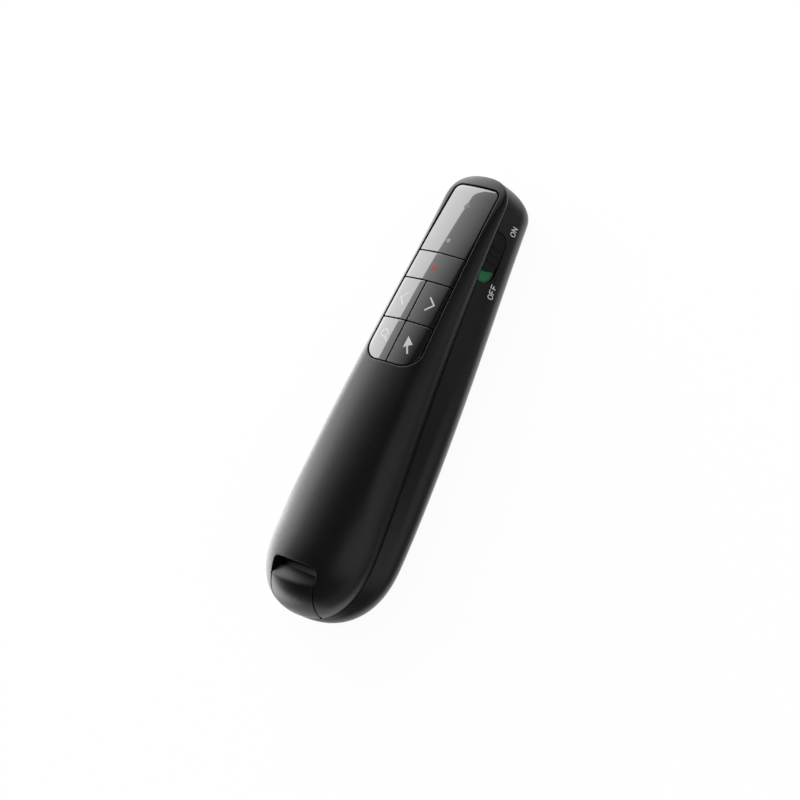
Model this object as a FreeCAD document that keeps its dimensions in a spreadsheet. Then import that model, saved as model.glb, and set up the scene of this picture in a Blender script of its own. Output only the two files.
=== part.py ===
import FreeCAD, Part

import math
import os
import re
from types import SimpleNamespace

# Wireless presentation clicker, in millimetres. +X is the side with the power switch, +Y runs from the
# humped tail to the slim head, +Z is up. The origin is the middle of the footprint, on the underside.
# Places along the body are given as distances from the tail end.

# Driving dimensions, by piece
dimensions = {
    # outer form
    "body_length": 140.0,
    "tail_half_width": 17.2,
    "head_half_width": 10.5,
    "waist_share": 0.94,
    "tail_crown_height": 25.3,
    "head_crown_height": 15.4,
    "crown_fall_share": 2.37,
    "end_flare": 2.7,
    "middle_flare": 5.3,
    "tail_seam_height": 10.1,
    "head_seam_height": 13.3,
    "tail_plan_rounding": 24.8,
    "tail_plan_share": 2.43,
    "head_plan_rounding": 9.5,
    "head_plan_share": 2.40,
    "tail_side_rounding": 20.3,
    "tail_side_share": 2.36,
    "head_side_rounding": 7.4,
    "head_side_share": 2.20,
    "tail_shoulder_radius": 12.1,
    "head_shoulder_radius": 3.3,
    "tail_crown_radius": 18.2,
    "head_crown_radius": 35.1,
    "skirt_corner_radius": 5.5,
    "wall": 1.8,
    "seam_gap": 0.2,
    "tongue_inset": 1.0,
    "tongue_height": 1.2,
    "tongue_root": 0.6,
    "tongue_fit": 0.1,
    "floor_trim": 0.15,
    "overrun": 1.0,
    # button field
    "panel_tail": 75.2,
    "panel_head": 135.35,
    "panel_tail_half_width": 8.95,
    "panel_head_half_width": 7.4,
    "panel_tail_corner": 5.2,
    "panel_head_corner": 2.0,
    "well_gap": 0.4,
    "window_line": 111.65,
    "laser_line": 102.15,
    "page_line": 88.6,
    "key_gap": 0.4,
    "key_recess": 0.25,
    "key_thickness": 1.6,
    "key_travel": 0.4,
    "key_stop_clearance": 0.1,
    "plunger_radius": 1.5,
    "plunger_clearance": 0.3,
    "pair_offset": 4.4,
    "frame_margin": 1.2,
    "frame_thickness": 1.5,
    "frame_fit": 0.05,
    "frame_head_inset": 0.6,
    # main board
    "board_tail": 78.6,
    "board_head": 125.0,
    "board_half_width": 8.3,
    "board_underside": 11.0,
    "board_thickness": 1.0,
    "board_post_radius": 1.5,
    "board_post_inset": 2.2,
    "tact_size": 4.5,
    "tact_height": 1.6,
    "tact_stem_radius": 1.1,
    "tact_stem_height": 0.9,
    "chip_size": 5.0,
    "chip_height": 0.9,
    "controller_place": 91.5,
    "radio_place": 103.5,
    "crystal_offset": 5.0,
    "crystal_length": 3.2,
    "crystal_width": 2.5,
    "crystal_height": 0.8,
    "led_length": 1.6,
    "led_width": 0.8,
    "led_height": 0.6,
    # light guide
    "guide_place": 116.2,
    "guide_radius": 0.85,
    "guide_fit": 0.05,
    # power switch
    "switch_tail": 108.6,
    "switch_head": 124.6,
    "slot_width": 4.7,
    "slot_depth": 3.2,
    "slider_length": 12.2,
    "slider_travel": 3.4,
    "slider_fit": 0.2,
    "slider_recess": 0.25,
    "slider_thickness": 0.8,
    "slot_corner": 3.4,
    "rib_shift": 0.75,
    "rib_width": 0.7,
    "rib_pitch": 2.25,
    "rib_height": 0.3,
    "rib_margin": 0.6,
    "backing_gap": 0.1,
    "backing_thickness": 0.6,
    "mark_thickness": 0.12,
    "mark_overlap": 0.6,
    "stem_width": 2.0,
    "stem_height": 1.4,
    "stem_drop": 1.6,
    "stem_reach": 4.3,
    "switch_can_side": 6.5,
    "switch_can_length": 8.4,
    "switch_can_width": 3.2,
    "switch_can_height": 3.0,
    "lever_width": 1.1,
    "lever_reach": 1.2,
    "lever_gap": 0.05,
    # receiver and its socket
    "notch_half_width": 7.5,
    "notch_depth": 12.6,
    "notch_corner": 1.8,
    "notch_wall": 1.3,
    "notch_floor": 1.8,
    "cap_side_gap": 0.25,
    "cap_length": 10.9,
    "cap_seam_gap": 0.3,
    "ramp_place": 6.8,
    "ramp_angle": 20.0,
    "ramp_radius": 26.0,
    "cap_front_wall": 5.0,
    "cap_room_fit": 0.05,
    "plug_half_width": 6.0,
    "plug_height": 4.5,
    "plug_length": 12.0,
    "plug_centre_height": 16.6,
    "plug_sheet": 0.35,
    "plug_root": 2.8,
    "plug_tongue_inset": 0.6,
    "plug_tongue_height": 1.9,
    "contact_width": 1.0,
    "contact_pitch": 2.3,
    "contact_thickness": 0.1,
    "receiver_board_thickness": 0.8,
    "plug_fit": 0.15,
    "dock_wall": 1.1,
    "dock_tail": 14.2,
    "dock_head": 24.9,
    "dock_leg": 1.5,
    "dock_leg_tail": 17.4,
    "seat_gap": 0.1,
    # battery bay
    "cell_radius": 5.25,
    "cell_length": 43.6,
    "cell_nub_radius": 1.9,
    "cell_nub_length": 0.9,
    "cell_height": 7.5,
    "bay_tail": 26.6,
    "bay_head": 76.6,
    "bay_half_width": 5.8,
    "bay_roof": 13.1,
    "bay_wall": 1.2,
    "contact_sheet": 0.4,
    "contact_half_width": 4.2,
    "contact_foot": 3.2,
    "contact_top": 11.6,
    "cover_half_width": 7.6,
    "cover_margin": 1.8,
    "cover_thickness": 1.6,
    "cover_lift": 0.1,
    "cover_corner": 2.5,
    "cover_fit": 0.15,
    "cover_ledge": 1.6,
    "cover_rib_width": 0.9,
    "cover_rib_height": 1.0,
    "cover_rib_length": 36.0,
    "grip_rib_pitch": 1.8,
    "grip_rib_width": 0.8,
    "grip_rib_depth": 0.5,
    "grip_half_width": 4.5,
    # screws and their bosses
    "tail_screw_place": 19.0,
    "tail_screw_offset": 11.0,
    "middle_screw_place": 70.6,
    "middle_screw_offset": 9.9,
    "boss_radius": 2.6,
    "boss_top": 8.6,
    "post_radius": 2.2,
    "post_gap": 0.2,
    "screw_seat": 3.0,
    "screw_head_radius": 1.6,
    "screw_head_height": 1.1,
    "screw_radius": 0.85,
    "screw_length": 9.0,
    "screw_fit": 0.1,
    "head_hole_radius": 1.9,
    # laser
    "laser_radius": 3.0,
    "laser_length": 10.5,
    "laser_height": 8.0,
    "laser_front": 137.2,
    "laser_fit": 0.05,
    "holder_half_width": 4.4,
    "holder_tail": 128.4,
    "holder_length": 6.5,
    "lens_radius": 2.4,
    "lens_thickness": 1.5,
    "lens_fit": 0.1,
}

# Where the cross-sections stand, as shares of the tail rounding, of the middle and of the head rounding
tail_station_shares = (0.002, 0.015, 0.06, 0.15, 0.3, 0.5, 0.75, 1.0)
middle_station_shares = (0.13, 0.28, 0.43, 0.58, 0.73, 0.87)
head_station_shares = (1.0, 0.75, 0.5, 0.3, 0.15, 0.06, 0.015, 0.002)
crown_blend_share = (0.171, 0.936)
least_crown_share = 0.3
wall_start_share = 0.1
arc_slack_share = 1.05
corner_limit_share = 0.45

# How an edge is recognised: its direction along one axis, and its place
steep_share = 0.5
place_tolerance = 0.1

contact_count = 4
grip_rib_count = 5

doc = FreeCAD.newDocument("presentation_clicker")
sheet = doc.addObject("Spreadsheet::Sheet", "Sizes")
for row, (alias, value) in enumerate(dimensions.items(), start=1):
    sheet.set(f"A{row}", alias)
    sheet.set(f"B{row}", str(value))
    sheet.setAlias(f"B{row}", alias)
doc.recompute()
size = SimpleNamespace(**{alias: float(sheet.get(alias)) for alias in dimensions})


# Helpers

def bind(thing, prop, formula):
    """Binds a property to a formula of the sheet's values."""
    thing.setExpression(prop, re.sub(r"[a-z]+(?:_[a-z]+)+|wall|overrun", r"Sizes.\g<0>", formula))


def place(from_tail):
    """The y of a distance from the tail end."""
    return f"({from_tail} - body_length / 2)"


def box(name, x, y, z):
    """A block between two formulas on each axis, y counted from the tail."""
    block = doc.addObject("Part::Box", name)
    for prop, (low, high) in zip(("Length", "Width", "Height"), (x, y, z)):
        bind(block, prop, f"({high}) - ({low})")
    bind(block, "Placement.Base.x", x[0])
    bind(block, "Placement.Base.y", place(y[0]))
    bind(block, "Placement.Base.z", z[0])
    return block


def upright(name, radius, centre, z):
    """A vertical cylinder between two heights."""
    rod = doc.addObject("Part::Cylinder", name)
    bind(rod, "Radius", radius)
    bind(rod, "Height", f"({z[1]}) - ({z[0]})")
    bind(rod, "Placement.Base.x", centre[0])
    bind(rod, "Placement.Base.y", place(centre[1]))
    bind(rod, "Placement.Base.z", z[0])
    return rod


def along(name, radius, centre, y):
    """A cylinder along the body, with its centre line at x and z, between two distances from the tail."""
    rod = doc.addObject("Part::Cylinder", name)
    rod.Placement.Rotation = FreeCAD.Rotation(FreeCAD.Vector(-1, 0, 0), 90)
    bind(rod, "Radius", radius)
    bind(rod, "Height", f"({y[1]}) - ({y[0]})")
    bind(rod, "Placement.Base.x", centre[0])
    bind(rod, "Placement.Base.y", place(y[0]))
    bind(rod, "Placement.Base.z", centre[1])
    return rod


def cut(name, base, *tools):
    piece = doc.addObject("Part::Cut", name)
    piece.Base = base
    piece.Tool = tools[0] if len(tools) == 1 else fuse(name + "_cutters", *tools)
    return piece


def fuse(name, *pieces):
    piece = doc.addObject("Part::MultiFuse", name)
    piece.Shapes = list(pieces)
    return piece


def common(name, *pieces):
    piece = doc.addObject("Part::MultiCommon", name)
    piece.Shapes = list(pieces)
    return piece


def group(name, *pieces):
    """Several separate solids in one sub-part."""
    piece = doc.addObject("Part::Compound", name)
    piece.Links = list(pieces)
    return piece


def shifted(name, source, z):
    """A copy of a form, moved up or down."""
    copy = doc.addObject("Part::Feature", name)
    copy.Shape = source.Shape.copy()
    copy.Placement.Base = FreeCAD.Vector(0, 0, z)
    return copy


# Outer form: cross-sections of tangent arcs whose sizes follow formulas along the body

def rounding(share, power):
    """Rises from 0 to 1 as a quarter of a superellipse."""
    share = min(max(share, 0.0), 1.0)
    return (1 - (1 - share) ** power) ** (1 / power)


def section_sizes(from_tail, inset):
    """Sizes of the cross-section at one place, with each face moved in by inset."""
    run = from_tail / size.body_length
    to_head = size.body_length - from_tail
    waist = (1 + math.cos(math.pi * run ** size.waist_share)) / 2
    seam_half = size.head_half_width + (size.tail_half_width - size.head_half_width) * waist - inset
    fall = run ** size.crown_fall_share
    crown = size.tail_crown_height + (size.head_crown_height - size.tail_crown_height) * fall - inset
    flare = size.end_flare + (size.middle_flare - size.end_flare) * math.sin(math.pi * run)
    rise = math.sin(math.pi / 2 * run)
    seam = size.tail_seam_height + (size.head_seam_height - size.tail_seam_height) * rise
    plan = rounding((from_tail - inset) / (size.tail_plan_rounding - inset), size.tail_plan_share)
    plan *= rounding((to_head - inset) / (size.head_plan_rounding - inset), size.head_plan_share)
    side = rounding((from_tail - inset) / (size.tail_side_rounding - inset), size.tail_side_share)
    side *= rounding((to_head - inset) / (size.head_side_rounding - inset), size.head_side_share)
    low, high = crown_blend_share
    blend = min(max((run - low) / (high - low), 0.0), 1.0)
    shoulder = size.tail_shoulder_radius + (size.head_shoulder_radius - size.tail_shoulder_radius) * blend
    arch = size.tail_crown_radius + (size.head_crown_radius - size.tail_crown_radius) * blend
    trim = 0 if inset else size.floor_trim
    half = seam_half * plan
    top = seam + (crown - seam) * side
    drop = (top - seam) * (1 - wall_start_share)
    arch = max((arch - inset) * max(plan, least_crown_share),
               arc_slack_share * (half ** 2 + drop ** 2) / (2 * drop))
    limit = (arch ** 2 - half ** 2 - (arch - drop) ** 2) / (2 * (arch - half))
    shoulder = min((shoulder - inset) * min(plan, side), limit)
    return SimpleNamespace(seam=seam, half=half, top=top, arch=arch, shoulder=shoulder,
                           widest=(seam_half + flare) * plan,
                           floor=seam - (seam - inset + trim) * max(side, plan),
                           plan=plan, side=side)


def arc(centre, radius, start, middle, end):
    """An arc in a cross-section, by three angles."""
    points = [FreeCAD.Vector(centre[0] + radius * math.cos(a), 0, centre[1] + radius * math.sin(a))
              for a in (start, middle, end)]
    return Part.Arc(*points).toShape()


def section_wire(edges, from_tail):
    wire = Part.Wire(edges)
    wire.translate(FreeCAD.Vector(0, from_tail - size.body_length / 2, 0))
    return wire


def line(start, end):
    return Part.LineSegment(FreeCAD.Vector(start[0], 0, start[1]),
                            FreeCAD.Vector(end[0], 0, end[1])).toShape()


def upper_section(from_tail, inset, lift):
    """Crown arc, two shoulder arcs and two upright walls, closed by a line at lift above the seam."""
    sizes = section_sizes(from_tail, inset)
    base = sizes.seam + lift * sizes.side
    shoulder_x = sizes.half - sizes.shoulder
    centre = sizes.top - sizes.arch
    shoulder_z = centre + math.sqrt((sizes.arch - sizes.shoulder) ** 2 - shoulder_x ** 2)
    turn = math.atan2(shoulder_z - centre, shoulder_x)
    edges = [
        line((-sizes.half, base), (sizes.half, base)),
        line((sizes.half, base), (sizes.half, shoulder_z)),
        arc((shoulder_x, shoulder_z), sizes.shoulder, 0, turn / 2, turn),
        arc((0, centre), sizes.arch, turn, math.pi / 2, math.pi - turn),
        arc((-shoulder_x, shoulder_z), sizes.shoulder, math.pi - turn, math.pi - turn / 2, math.pi),
        line((-sizes.half, shoulder_z), (-sizes.half, base)),
    ]
    return section_wire(edges, from_tail)


def lower_section(from_tail, inset, lift):
    """Flared sides that run tangent into the two bottom corners, closed by a line at lift over the seam."""
    sizes = section_sizes(from_tail, inset)
    rim = sizes.seam + lift
    corner = min((size.skirt_corner_radius - inset) * sizes.plan,
                 corner_limit_share * (sizes.seam - sizes.floor))
    centre_x = sizes.widest - corner
    centre_z = sizes.floor + corner
    across, up = sizes.half - centre_x, rim - centre_z
    turn = math.atan2(up, across) - math.acos(corner / math.hypot(across, up))
    touch = (centre_x + corner * math.cos(turn), centre_z + corner * math.sin(turn))
    down = -math.pi / 2
    edges = [
        line((sizes.half, rim), (-sizes.half, rim)),
        line((-sizes.half, rim), (-touch[0], touch[1])),
        arc((-centre_x, centre_z), corner, math.pi - turn, (math.pi - turn + math.pi - down) / 2,
            math.pi - down),
        line((-centre_x, sizes.floor), (centre_x, sizes.floor)),
        arc((centre_x, centre_z), corner, down, (down + turn) / 2, turn),
        line(touch, (sizes.half, rim)),
    ]
    return section_wire(edges, from_tail)


def rim_section(from_tail, inset, low, high):
    """A band across the body, from low under the seam to high over it."""
    sizes = section_sizes(from_tail, inset)
    corners = [(-sizes.half, sizes.seam - low), (sizes.half, sizes.seam - low),
               (sizes.half, sizes.seam + high), (-sizes.half, sizes.seam + high)]
    return section_wire([line(*ends) for ends in zip(corners, corners[1:] + corners[:1])], from_tail)


def stations(inset):
    """Places of the cross-sections, close together where the ends round off."""
    tail = [inset + share * (size.tail_plan_rounding - inset) for share in tail_station_shares]
    head = [size.body_length - inset - share * (size.head_plan_rounding - inset)
            for share in head_station_shares]
    span = head[0] - tail[-1]
    middle = [tail[-1] + share * span for share in middle_station_shares]
    return tail + middle + head


def form(name, section, inset, *levels):
    """A smooth solid through the cross-sections."""
    feature = doc.addObject("Part::Feature", name)
    feature.Shape = Part.makeLoft([section(y, inset, *levels) for y in stations(inset)], True)
    return feature


def crown_at(x, from_tail):
    """Height of the crown at a point of the plan."""
    sizes = section_sizes(from_tail, 0)
    return sizes.top - sizes.arch + math.sqrt(sizes.arch ** 2 - x ** 2)


upper_form = form("upper_form", upper_section, 0, size.seam_gap / 2)
upper_hollow = form("upper_hollow", upper_section, size.wall, -size.overrun)
lower_form = form("lower_form", lower_section, 0, -size.seam_gap / 2)
lower_hollow = form("lower_hollow", lower_section, size.wall, size.overrun)
tongue_form = form("tongue_form", upper_section, size.tongue_inset, -size.tongue_root)
tongue_band = form("tongue_band", rim_section, 0, size.tongue_root + size.overrun, size.tongue_height)
tongue_room = form("tongue_room", rim_section, size.wall, size.tongue_root + 2 * size.overrun,
                   size.tongue_height + size.overrun)
groove_form = form("groove_form", upper_section, size.tongue_inset - size.tongue_fit, -size.overrun)
groove_band = form("groove_band", rim_section, 0, size.tongue_root + size.overrun,
                   size.tongue_height + size.tongue_fit)


# Button field: one outline, cut into keys

def panel_prism(name, margin):
    """The button field's outline as a tall prism, grown by a margin."""
    slope = (size.panel_tail_half_width - size.panel_head_half_width) / (size.panel_head - size.panel_tail)
    tail, head = size.panel_tail - margin, size.panel_head + margin
    wide = size.panel_tail_half_width + margin * (1 + slope)
    narrow = size.panel_head_half_width + margin * (1 - slope)
    shift = -size.body_length / 2
    corners = [FreeCAD.Vector(x, y + shift, 0)
               for x, y in ((-wide, tail), (wide, tail), (narrow, head), (-narrow, head))]
    face = Part.Face(Part.makePolygon(corners + corners[:1]))
    solid = face.extrude(FreeCAD.Vector(0, 0, size.tail_crown_height + size.overrun))
    upright_edges = [e for e in solid.Edges if abs(e.tangentAt(e.FirstParameter).z) > steep_share]
    tail_edges = [e for e in upright_edges if e.CenterOfMass.y < (tail + head) / 2 + shift]
    head_edges = [e for e in upright_edges if e.CenterOfMass.y > (tail + head) / 2 + shift]
    solid = solid.makeFillet(size.panel_tail_corner + margin, tail_edges)
    head_edges = [e for e in solid.Edges for h in head_edges
                  if e.CenterOfMass.isEqual(h.CenterOfMass, place_tolerance)
                  and abs(e.Length - h.Length) < place_tolerance]
    feature = doc.addObject("Part::Feature", name)
    feature.Shape = solid.makeFillet(size.panel_head_corner + margin, head_edges)
    return feature


panel = panel_prism("panel_prism", 0)
well = panel_prism("well_prism", size.well_gap)
frame_outline = panel_prism("frame_prism", size.frame_margin)
key_surface = shifted("key_surface", upper_form, -size.key_recess)
key_underside = shifted("key_underside", upper_form, -size.key_recess - size.key_thickness)
panel_skin = cut("panel_skin", common("panel_top", panel, key_surface), key_underside)

side_reach = "(panel_tail_half_width + well_gap)"
half_gap = "key_gap / 2"
ceiling = "(tail_crown_height + overrun)"
left = (f"-{side_reach}", f"-{half_gap}")
right = (half_gap, side_reach)
across = (f"-{side_reach}", side_reach)
# Each key: its span across, the lines before and after it, and the side that its plunger stands on
key_layout = {
    "laser_button": (across, "laser_line", "window_line", 0),
    "back_button": (left, "page_line", "laser_line", -1),
    "forward_button": (right, "page_line", "laser_line", 1),
    "zoom_button": (left, "panel_tail", "page_line", -1),
    "pointer_button": (right, "panel_tail", "page_line", 1),
}
board_top = "(board_underside + board_thickness)"
stem_top = f"({board_top} + tact_height + tact_stem_height)"


def plunger_centre(name):
    _, before, after, side = key_layout[name]
    return f"{side} * pair_offset", f"(({before} + {after}) / 2)"


def key(name):
    """A key's cap follows the crown, and its plunger stands over a tact switch."""
    span, before, after, side = key_layout[name]
    start = f"{before} - overrun" if before == "panel_tail" else f"{before} + {half_gap}"
    cell = box(name + "_cell", span, (start, f"{after} - {half_gap}"), ("0", ceiling))
    cap = common(name + "_cap", panel_skin, cell)
    middle = (getattr(size, before) + getattr(size, after)) / 2
    root = crown_at(side * size.pair_offset, middle) - size.key_recess - size.key_thickness / 2
    plunger = upright(name + "_plunger", "plunger_radius", plunger_centre(name),
                      (f"{stem_top} + key_travel + key_stop_clearance", f"{root:.3f}"))
    return fuse(name, cap, plunger)


def light_guide_parts():
    """The round light guide rises from the lamp on the board through a hole in the window."""
    bar = upright("guide_bar", "guide_radius", ("0", "guide_place"),
                  (f"{board_top} + led_height + guide_fit", ceiling))
    hole = upright("guide_hole", "guide_radius + guide_fit", ("0", "guide_place"), ("0", ceiling))
    cell = box("window_cell", across, (f"window_line + {half_gap}", "panel_head + overrun"), ("0", ceiling))
    window = cut("front_window", common("window_skin", panel_skin, cell), hole)
    return window, common("indicator_light_guide", bar, key_surface)


def carrier():
    """The frame under the keys: a curved plate with a hole for each plunger and room for the travel."""
    frame_top = shifted("frame_top", upper_hollow, -size.frame_fit)
    underside = shifted("frame_underside", upper_hollow, -size.frame_fit - size.frame_thickness)
    key_bed = -size.key_recess - size.key_thickness
    key_room = shifted("key_room", upper_form, key_bed - size.key_travel - size.key_stop_clearance)
    window_room = shifted("window_room", upper_form, key_bed - size.key_stop_clearance)
    keys_cell = box("keys_cell", across, ("panel_tail - 2 * overrun", "window_line"), ("0", ceiling))
    window_cell = box("window_bed_cell", across, ("window_line", "body_length"), ("0", ceiling))
    over_keys = cut("over_key_beds", common("well_at_keys", well, keys_cell), key_room)
    over_window = cut("over_window_bed", common("well_at_window", well, window_cell), window_room)
    trimmed = box("frame_span", ("-tail_half_width", "tail_half_width"),
                  ("panel_tail - 2 * frame_margin", "panel_head - frame_head_inset"), ("0", ceiling))
    skin = cut("frame_skin", common("frame_slab", frame_outline, frame_top, trimmed), underside)
    holes = [upright(name + "_hole", "plunger_radius + plunger_clearance", plunger_centre(name),
                     ("0", ceiling)) for name in key_layout]
    guide_room = upright("frame_guide_hole", "guide_radius + plunger_clearance", ("0", "guide_place"),
                         ("0", ceiling))
    return cut("button_frame", skin, over_keys, over_window, guide_room, *holes)


# Electronics

def tact_switch(name, key_name):
    x, y = plunger_centre(key_name)
    body = box(name + "_body", (f"{x} - tact_size / 2", f"{x} + tact_size / 2"),
               (f"{y} - tact_size / 2", f"{y} + tact_size / 2"), (board_top, f"{board_top} + tact_height"))
    stem = upright(name + "_stem", "tact_stem_radius", (x, y), (f"{board_top} + tact_height / 2", stem_top))
    return fuse(name, body, stem)


def chip(name, x, y, length, width, height):
    """A package soldered under the board."""
    return box(name, (f"{x} - {width} / 2", f"{x} + {width} / 2"),
               (f"{y} - {length} / 2", f"{y} + {length} / 2"),
               (f"board_underside - {height}", "board_underside"))


def board_parts():
    board = box("main_board", ("-board_half_width", "board_half_width"), ("board_tail", "board_head"),
                ("board_underside", board_top))
    lamp = box("indicator_led", ("-led_width / 2", "led_width / 2"),
               ("guide_place - led_length / 2", "guide_place + led_length / 2"),
               (board_top, f"{board_top} + led_height"))
    can = box("slide_switch", ("switch_can_side - switch_can_width", "switch_can_side"),
              (f"{switch_middle} - switch_can_length / 2",
               f"{switch_middle} + switch_can_length / 2"),
              ("board_underside - switch_can_height", "board_underside"))
    return [
        board, lamp, can,
        chip("controller_chip", "0", "controller_place", "chip_size", "chip_size", "chip_height"),
        chip("radio_chip", "0", "radio_place", "chip_size", "chip_size", "chip_height"),
        chip("crystal", "-crystal_offset", "radio_place", "crystal_length", "crystal_width",
             "crystal_height"),
    ]


# Power switch, built in a frame that lies on the flared side: x out of the surface, y to the head, z up

switch_middle = "((switch_tail + switch_head) / 2)"


def seam_point(from_tail):
    sizes = section_sizes(from_tail, 0)
    return FreeCAD.Vector(sizes.half, from_tail - size.body_length / 2, sizes.seam)


def switch_placement():
    """The frame's origin is on the seam edge, in the middle of the slot."""
    middle = (size.switch_tail + size.switch_head) / 2
    forward = (seam_point(size.switch_head) - seam_point(size.switch_tail)).normalize()
    side = lower_section(middle, 0, 0).Edges[-1]
    down = side.valueAt(side.FirstParameter) - side.valueAt(side.LastParameter)
    outward = down.cross(forward).normalize()
    if outward.x < 0:
        outward = -outward
    rotation = FreeCAD.Rotation(outward, forward, outward.cross(forward), "XYZ")
    return FreeCAD.Placement(seam_point(middle), rotation)


def side_block(name, x, y, z, low_tail_corner=0, low_head_corner=0):
    """A block on the flared side, with its two lower corners rounded."""
    shape = Part.makeBox(x[1] - x[0], y[1] - y[0], z[1] - z[0], FreeCAD.Vector(x[0], y[0], z[0]))
    for radius, place_y in ((low_tail_corner, y[0]), (low_head_corner, y[1])):
        if radius:
            edges = [e for e in shape.Edges if abs(e.CenterOfMass.y - place_y) < place_tolerance
                     and abs(e.CenterOfMass.z - z[0]) < place_tolerance
                     and abs(e.tangentAt(e.FirstParameter).x) > steep_share]
            shape = shape.makeFillet(radius, edges)
    feature = doc.addObject("Part::Feature", name)
    feature.Shape = shape
    feature.Placement = side_frame
    return feature


def switch_parts():
    """The slot cutter, and the slider, its lever, the backing plate and the colour mark."""
    half_slot = (size.switch_head - size.switch_tail) / 2
    slot = side_block("switch_slot", (-size.slot_depth, size.overrun), (-half_slot, half_slot),
                      (-size.slot_width, size.overrun), size.slot_corner, size.slot_corner)
    head = half_slot - size.slider_fit
    tail = head - size.slider_length
    middle = (tail + head) / 2
    outer, inner = -size.slider_recess, -size.slider_recess - size.slider_thickness
    low = -size.slot_width + size.slider_fit
    knob = side_block("slider_knob", (inner, outer), (tail, head), (low, -size.slider_fit),
                      size.slot_corner - size.slider_fit, size.slot_corner - size.slider_fit)
    ribs = [side_block(f"slider_rib_{step + 2}", (inner, outer + size.rib_height),
                       (middle - size.rib_shift + step * size.rib_pitch - size.rib_width / 2,
                        middle - size.rib_shift + step * size.rib_pitch + size.rib_width / 2),
                       (low + size.rib_margin, -size.slider_fit - size.rib_margin)) for step in (-1, 0, 1)]
    stem_low = -size.stem_drop - size.stem_height / 2
    stem_high = -size.stem_drop + size.stem_height / 2
    stem = side_block("slider_stem", (-size.stem_reach, inner + size.slider_thickness / 2),
                      (middle - size.stem_width / 2, middle + size.stem_width / 2), (stem_low, stem_high))
    slider = fuse("power_slider", knob, stem, *ribs)
    lever_end = -size.stem_reach - size.lever_gap
    lever = side_block("switch_lever", (lever_end - size.lever_reach, lever_end),
                       (middle - size.lever_width / 2, middle + size.lever_width / 2),
                       (-size.stem_drop - size.lever_width / 2, -size.stem_drop + size.lever_width / 2))
    face = inner - size.backing_gap
    edge = half_slot - size.frame_fit
    plate = side_block("backing_plate", (face - size.backing_thickness, face), (-edge, edge),
                       (-size.slot_width + size.frame_fit, -size.slider_fit),
                       size.slot_corner - size.frame_fit, size.slot_corner - size.frame_fit)
    slit = side_block("backing_slit", (face - size.overrun, face + size.overrun),
                      (middle - size.stem_width / 2 - size.slider_travel - size.slider_fit,
                       middle + size.stem_width / 2 + size.slider_fit),
                      (stem_low - size.slider_fit, stem_high + size.slider_fit))
    mark_edge = edge - size.slider_fit
    mark_low = -size.slot_width + size.frame_fit + size.slider_fit
    mark = side_block("colour_mark", (face - size.mark_thickness, face),
                      (-mark_edge, tail + size.mark_overlap), (mark_low, -2 * size.slider_fit),
                      size.slot_corner - 2 * size.slider_fit)
    bed = side_block("mark_bed", (face - size.mark_thickness, face + size.overrun),
                     (-mark_edge, tail + size.mark_overlap), (mark_low, -2 * size.slider_fit),
                     size.slot_corner - 2 * size.slider_fit)
    return slot, [slider, lever, cut("switch_backing", plate, slit, bed), mark]


# Receiver and the socket that it is stored in

def receiver_parts():
    """The grip that closes the tail, cut from the outer form, and the USB plug on it."""
    grip_half = "(notch_half_width - cap_side_gap)"
    plug_low, plug_high = "(plug_centre_height - plug_height / 2)", "(plug_centre_height + plug_height / 2)"
    cell = box("cap_cell", (f"-{grip_half}", grip_half), ("-overrun", "cap_length"), ("0", ceiling))
    under = shifted("cap_floor", lower_form, size.cap_seam_gap + size.seam_gap / 2)
    ramp = doc.addObject("Part::Cylinder", "cap_ramp")
    bind(ramp, "Radius", "ramp_radius")
    bind(ramp, "Height", "2 * notch_depth + 4 * ramp_radius")
    slope = math.radians(size.ramp_angle)
    direction = FreeCAD.Vector(0, math.cos(slope), -math.sin(slope))
    start = FreeCAD.Vector(0, size.ramp_place - size.body_length / 2, crown_at(0, size.ramp_place))
    lowered = FreeCAD.Vector(0, math.sin(slope), math.cos(slope)) * size.ramp_radius
    ramp.Placement = FreeCAD.Placement(start - lowered - direction * 2 * size.ramp_radius,
                                       FreeCAD.Rotation(FreeCAD.Vector(0, 0, 1), direction))
    room = box("cap_room", ("-plug_half_width - cap_room_fit", "plug_half_width + cap_room_fit"),
               ("cap_front_wall", "cap_length + overrun"),
               (f"{plug_low} - cap_room_fit", f"{plug_high} + cap_room_fit"))
    cap = cut("receiver_cap", common("cap_block", upper_form, cell, ramp), under, room)
    start = "cap_length - plug_root"
    tube = box("plug_tube", ("-plug_half_width", "plug_half_width"), (start, "cap_length + plug_length"),
               (plug_low, plug_high))
    inside = box("plug_inside", ("-plug_half_width + plug_sheet", "plug_half_width - plug_sheet"),
                 (f"{start} - overrun", "cap_length + plug_length + overrun"),
                 (f"{plug_low} + plug_sheet", f"{plug_high} - plug_sheet"))
    tongue_low = f"({plug_low} + plug_sheet + frame_fit)"
    tongue = box("plug_tongue", ("-plug_half_width + plug_sheet + frame_fit",
                                 "plug_half_width - plug_sheet - frame_fit"),
                 (start, "cap_length + plug_length - plug_tongue_inset"),
                 (tongue_low, f"{tongue_low} + plug_tongue_height"))
    contacts = []
    for step in range(contact_count):
        contact_middle = f"{2 * step + 1 - contact_count} * contact_pitch / 2"
        contacts.append(box(f"plug_contact_{step}", (f"{contact_middle} - contact_width / 2",
                                                     f"{contact_middle} + contact_width / 2"),
                            ("cap_length + plug_tongue_inset",
                             "cap_length + plug_length - 2 * plug_tongue_inset"),
                            (f"{tongue_low} + plug_tongue_height",
                             f"{tongue_low} + plug_tongue_height + contact_thickness")))
    board = box("receiver_board", ("-plug_half_width + plug_sheet", "plug_half_width - plug_sheet"),
                ("cap_front_wall + frame_fit", f"{start} - frame_fit"),
                ("plug_centre_height - receiver_board_thickness", "plug_centre_height"))
    return [cap, cut("plug_shell", tube, inside), tongue, group("plug_contacts", *contacts), board]


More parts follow.
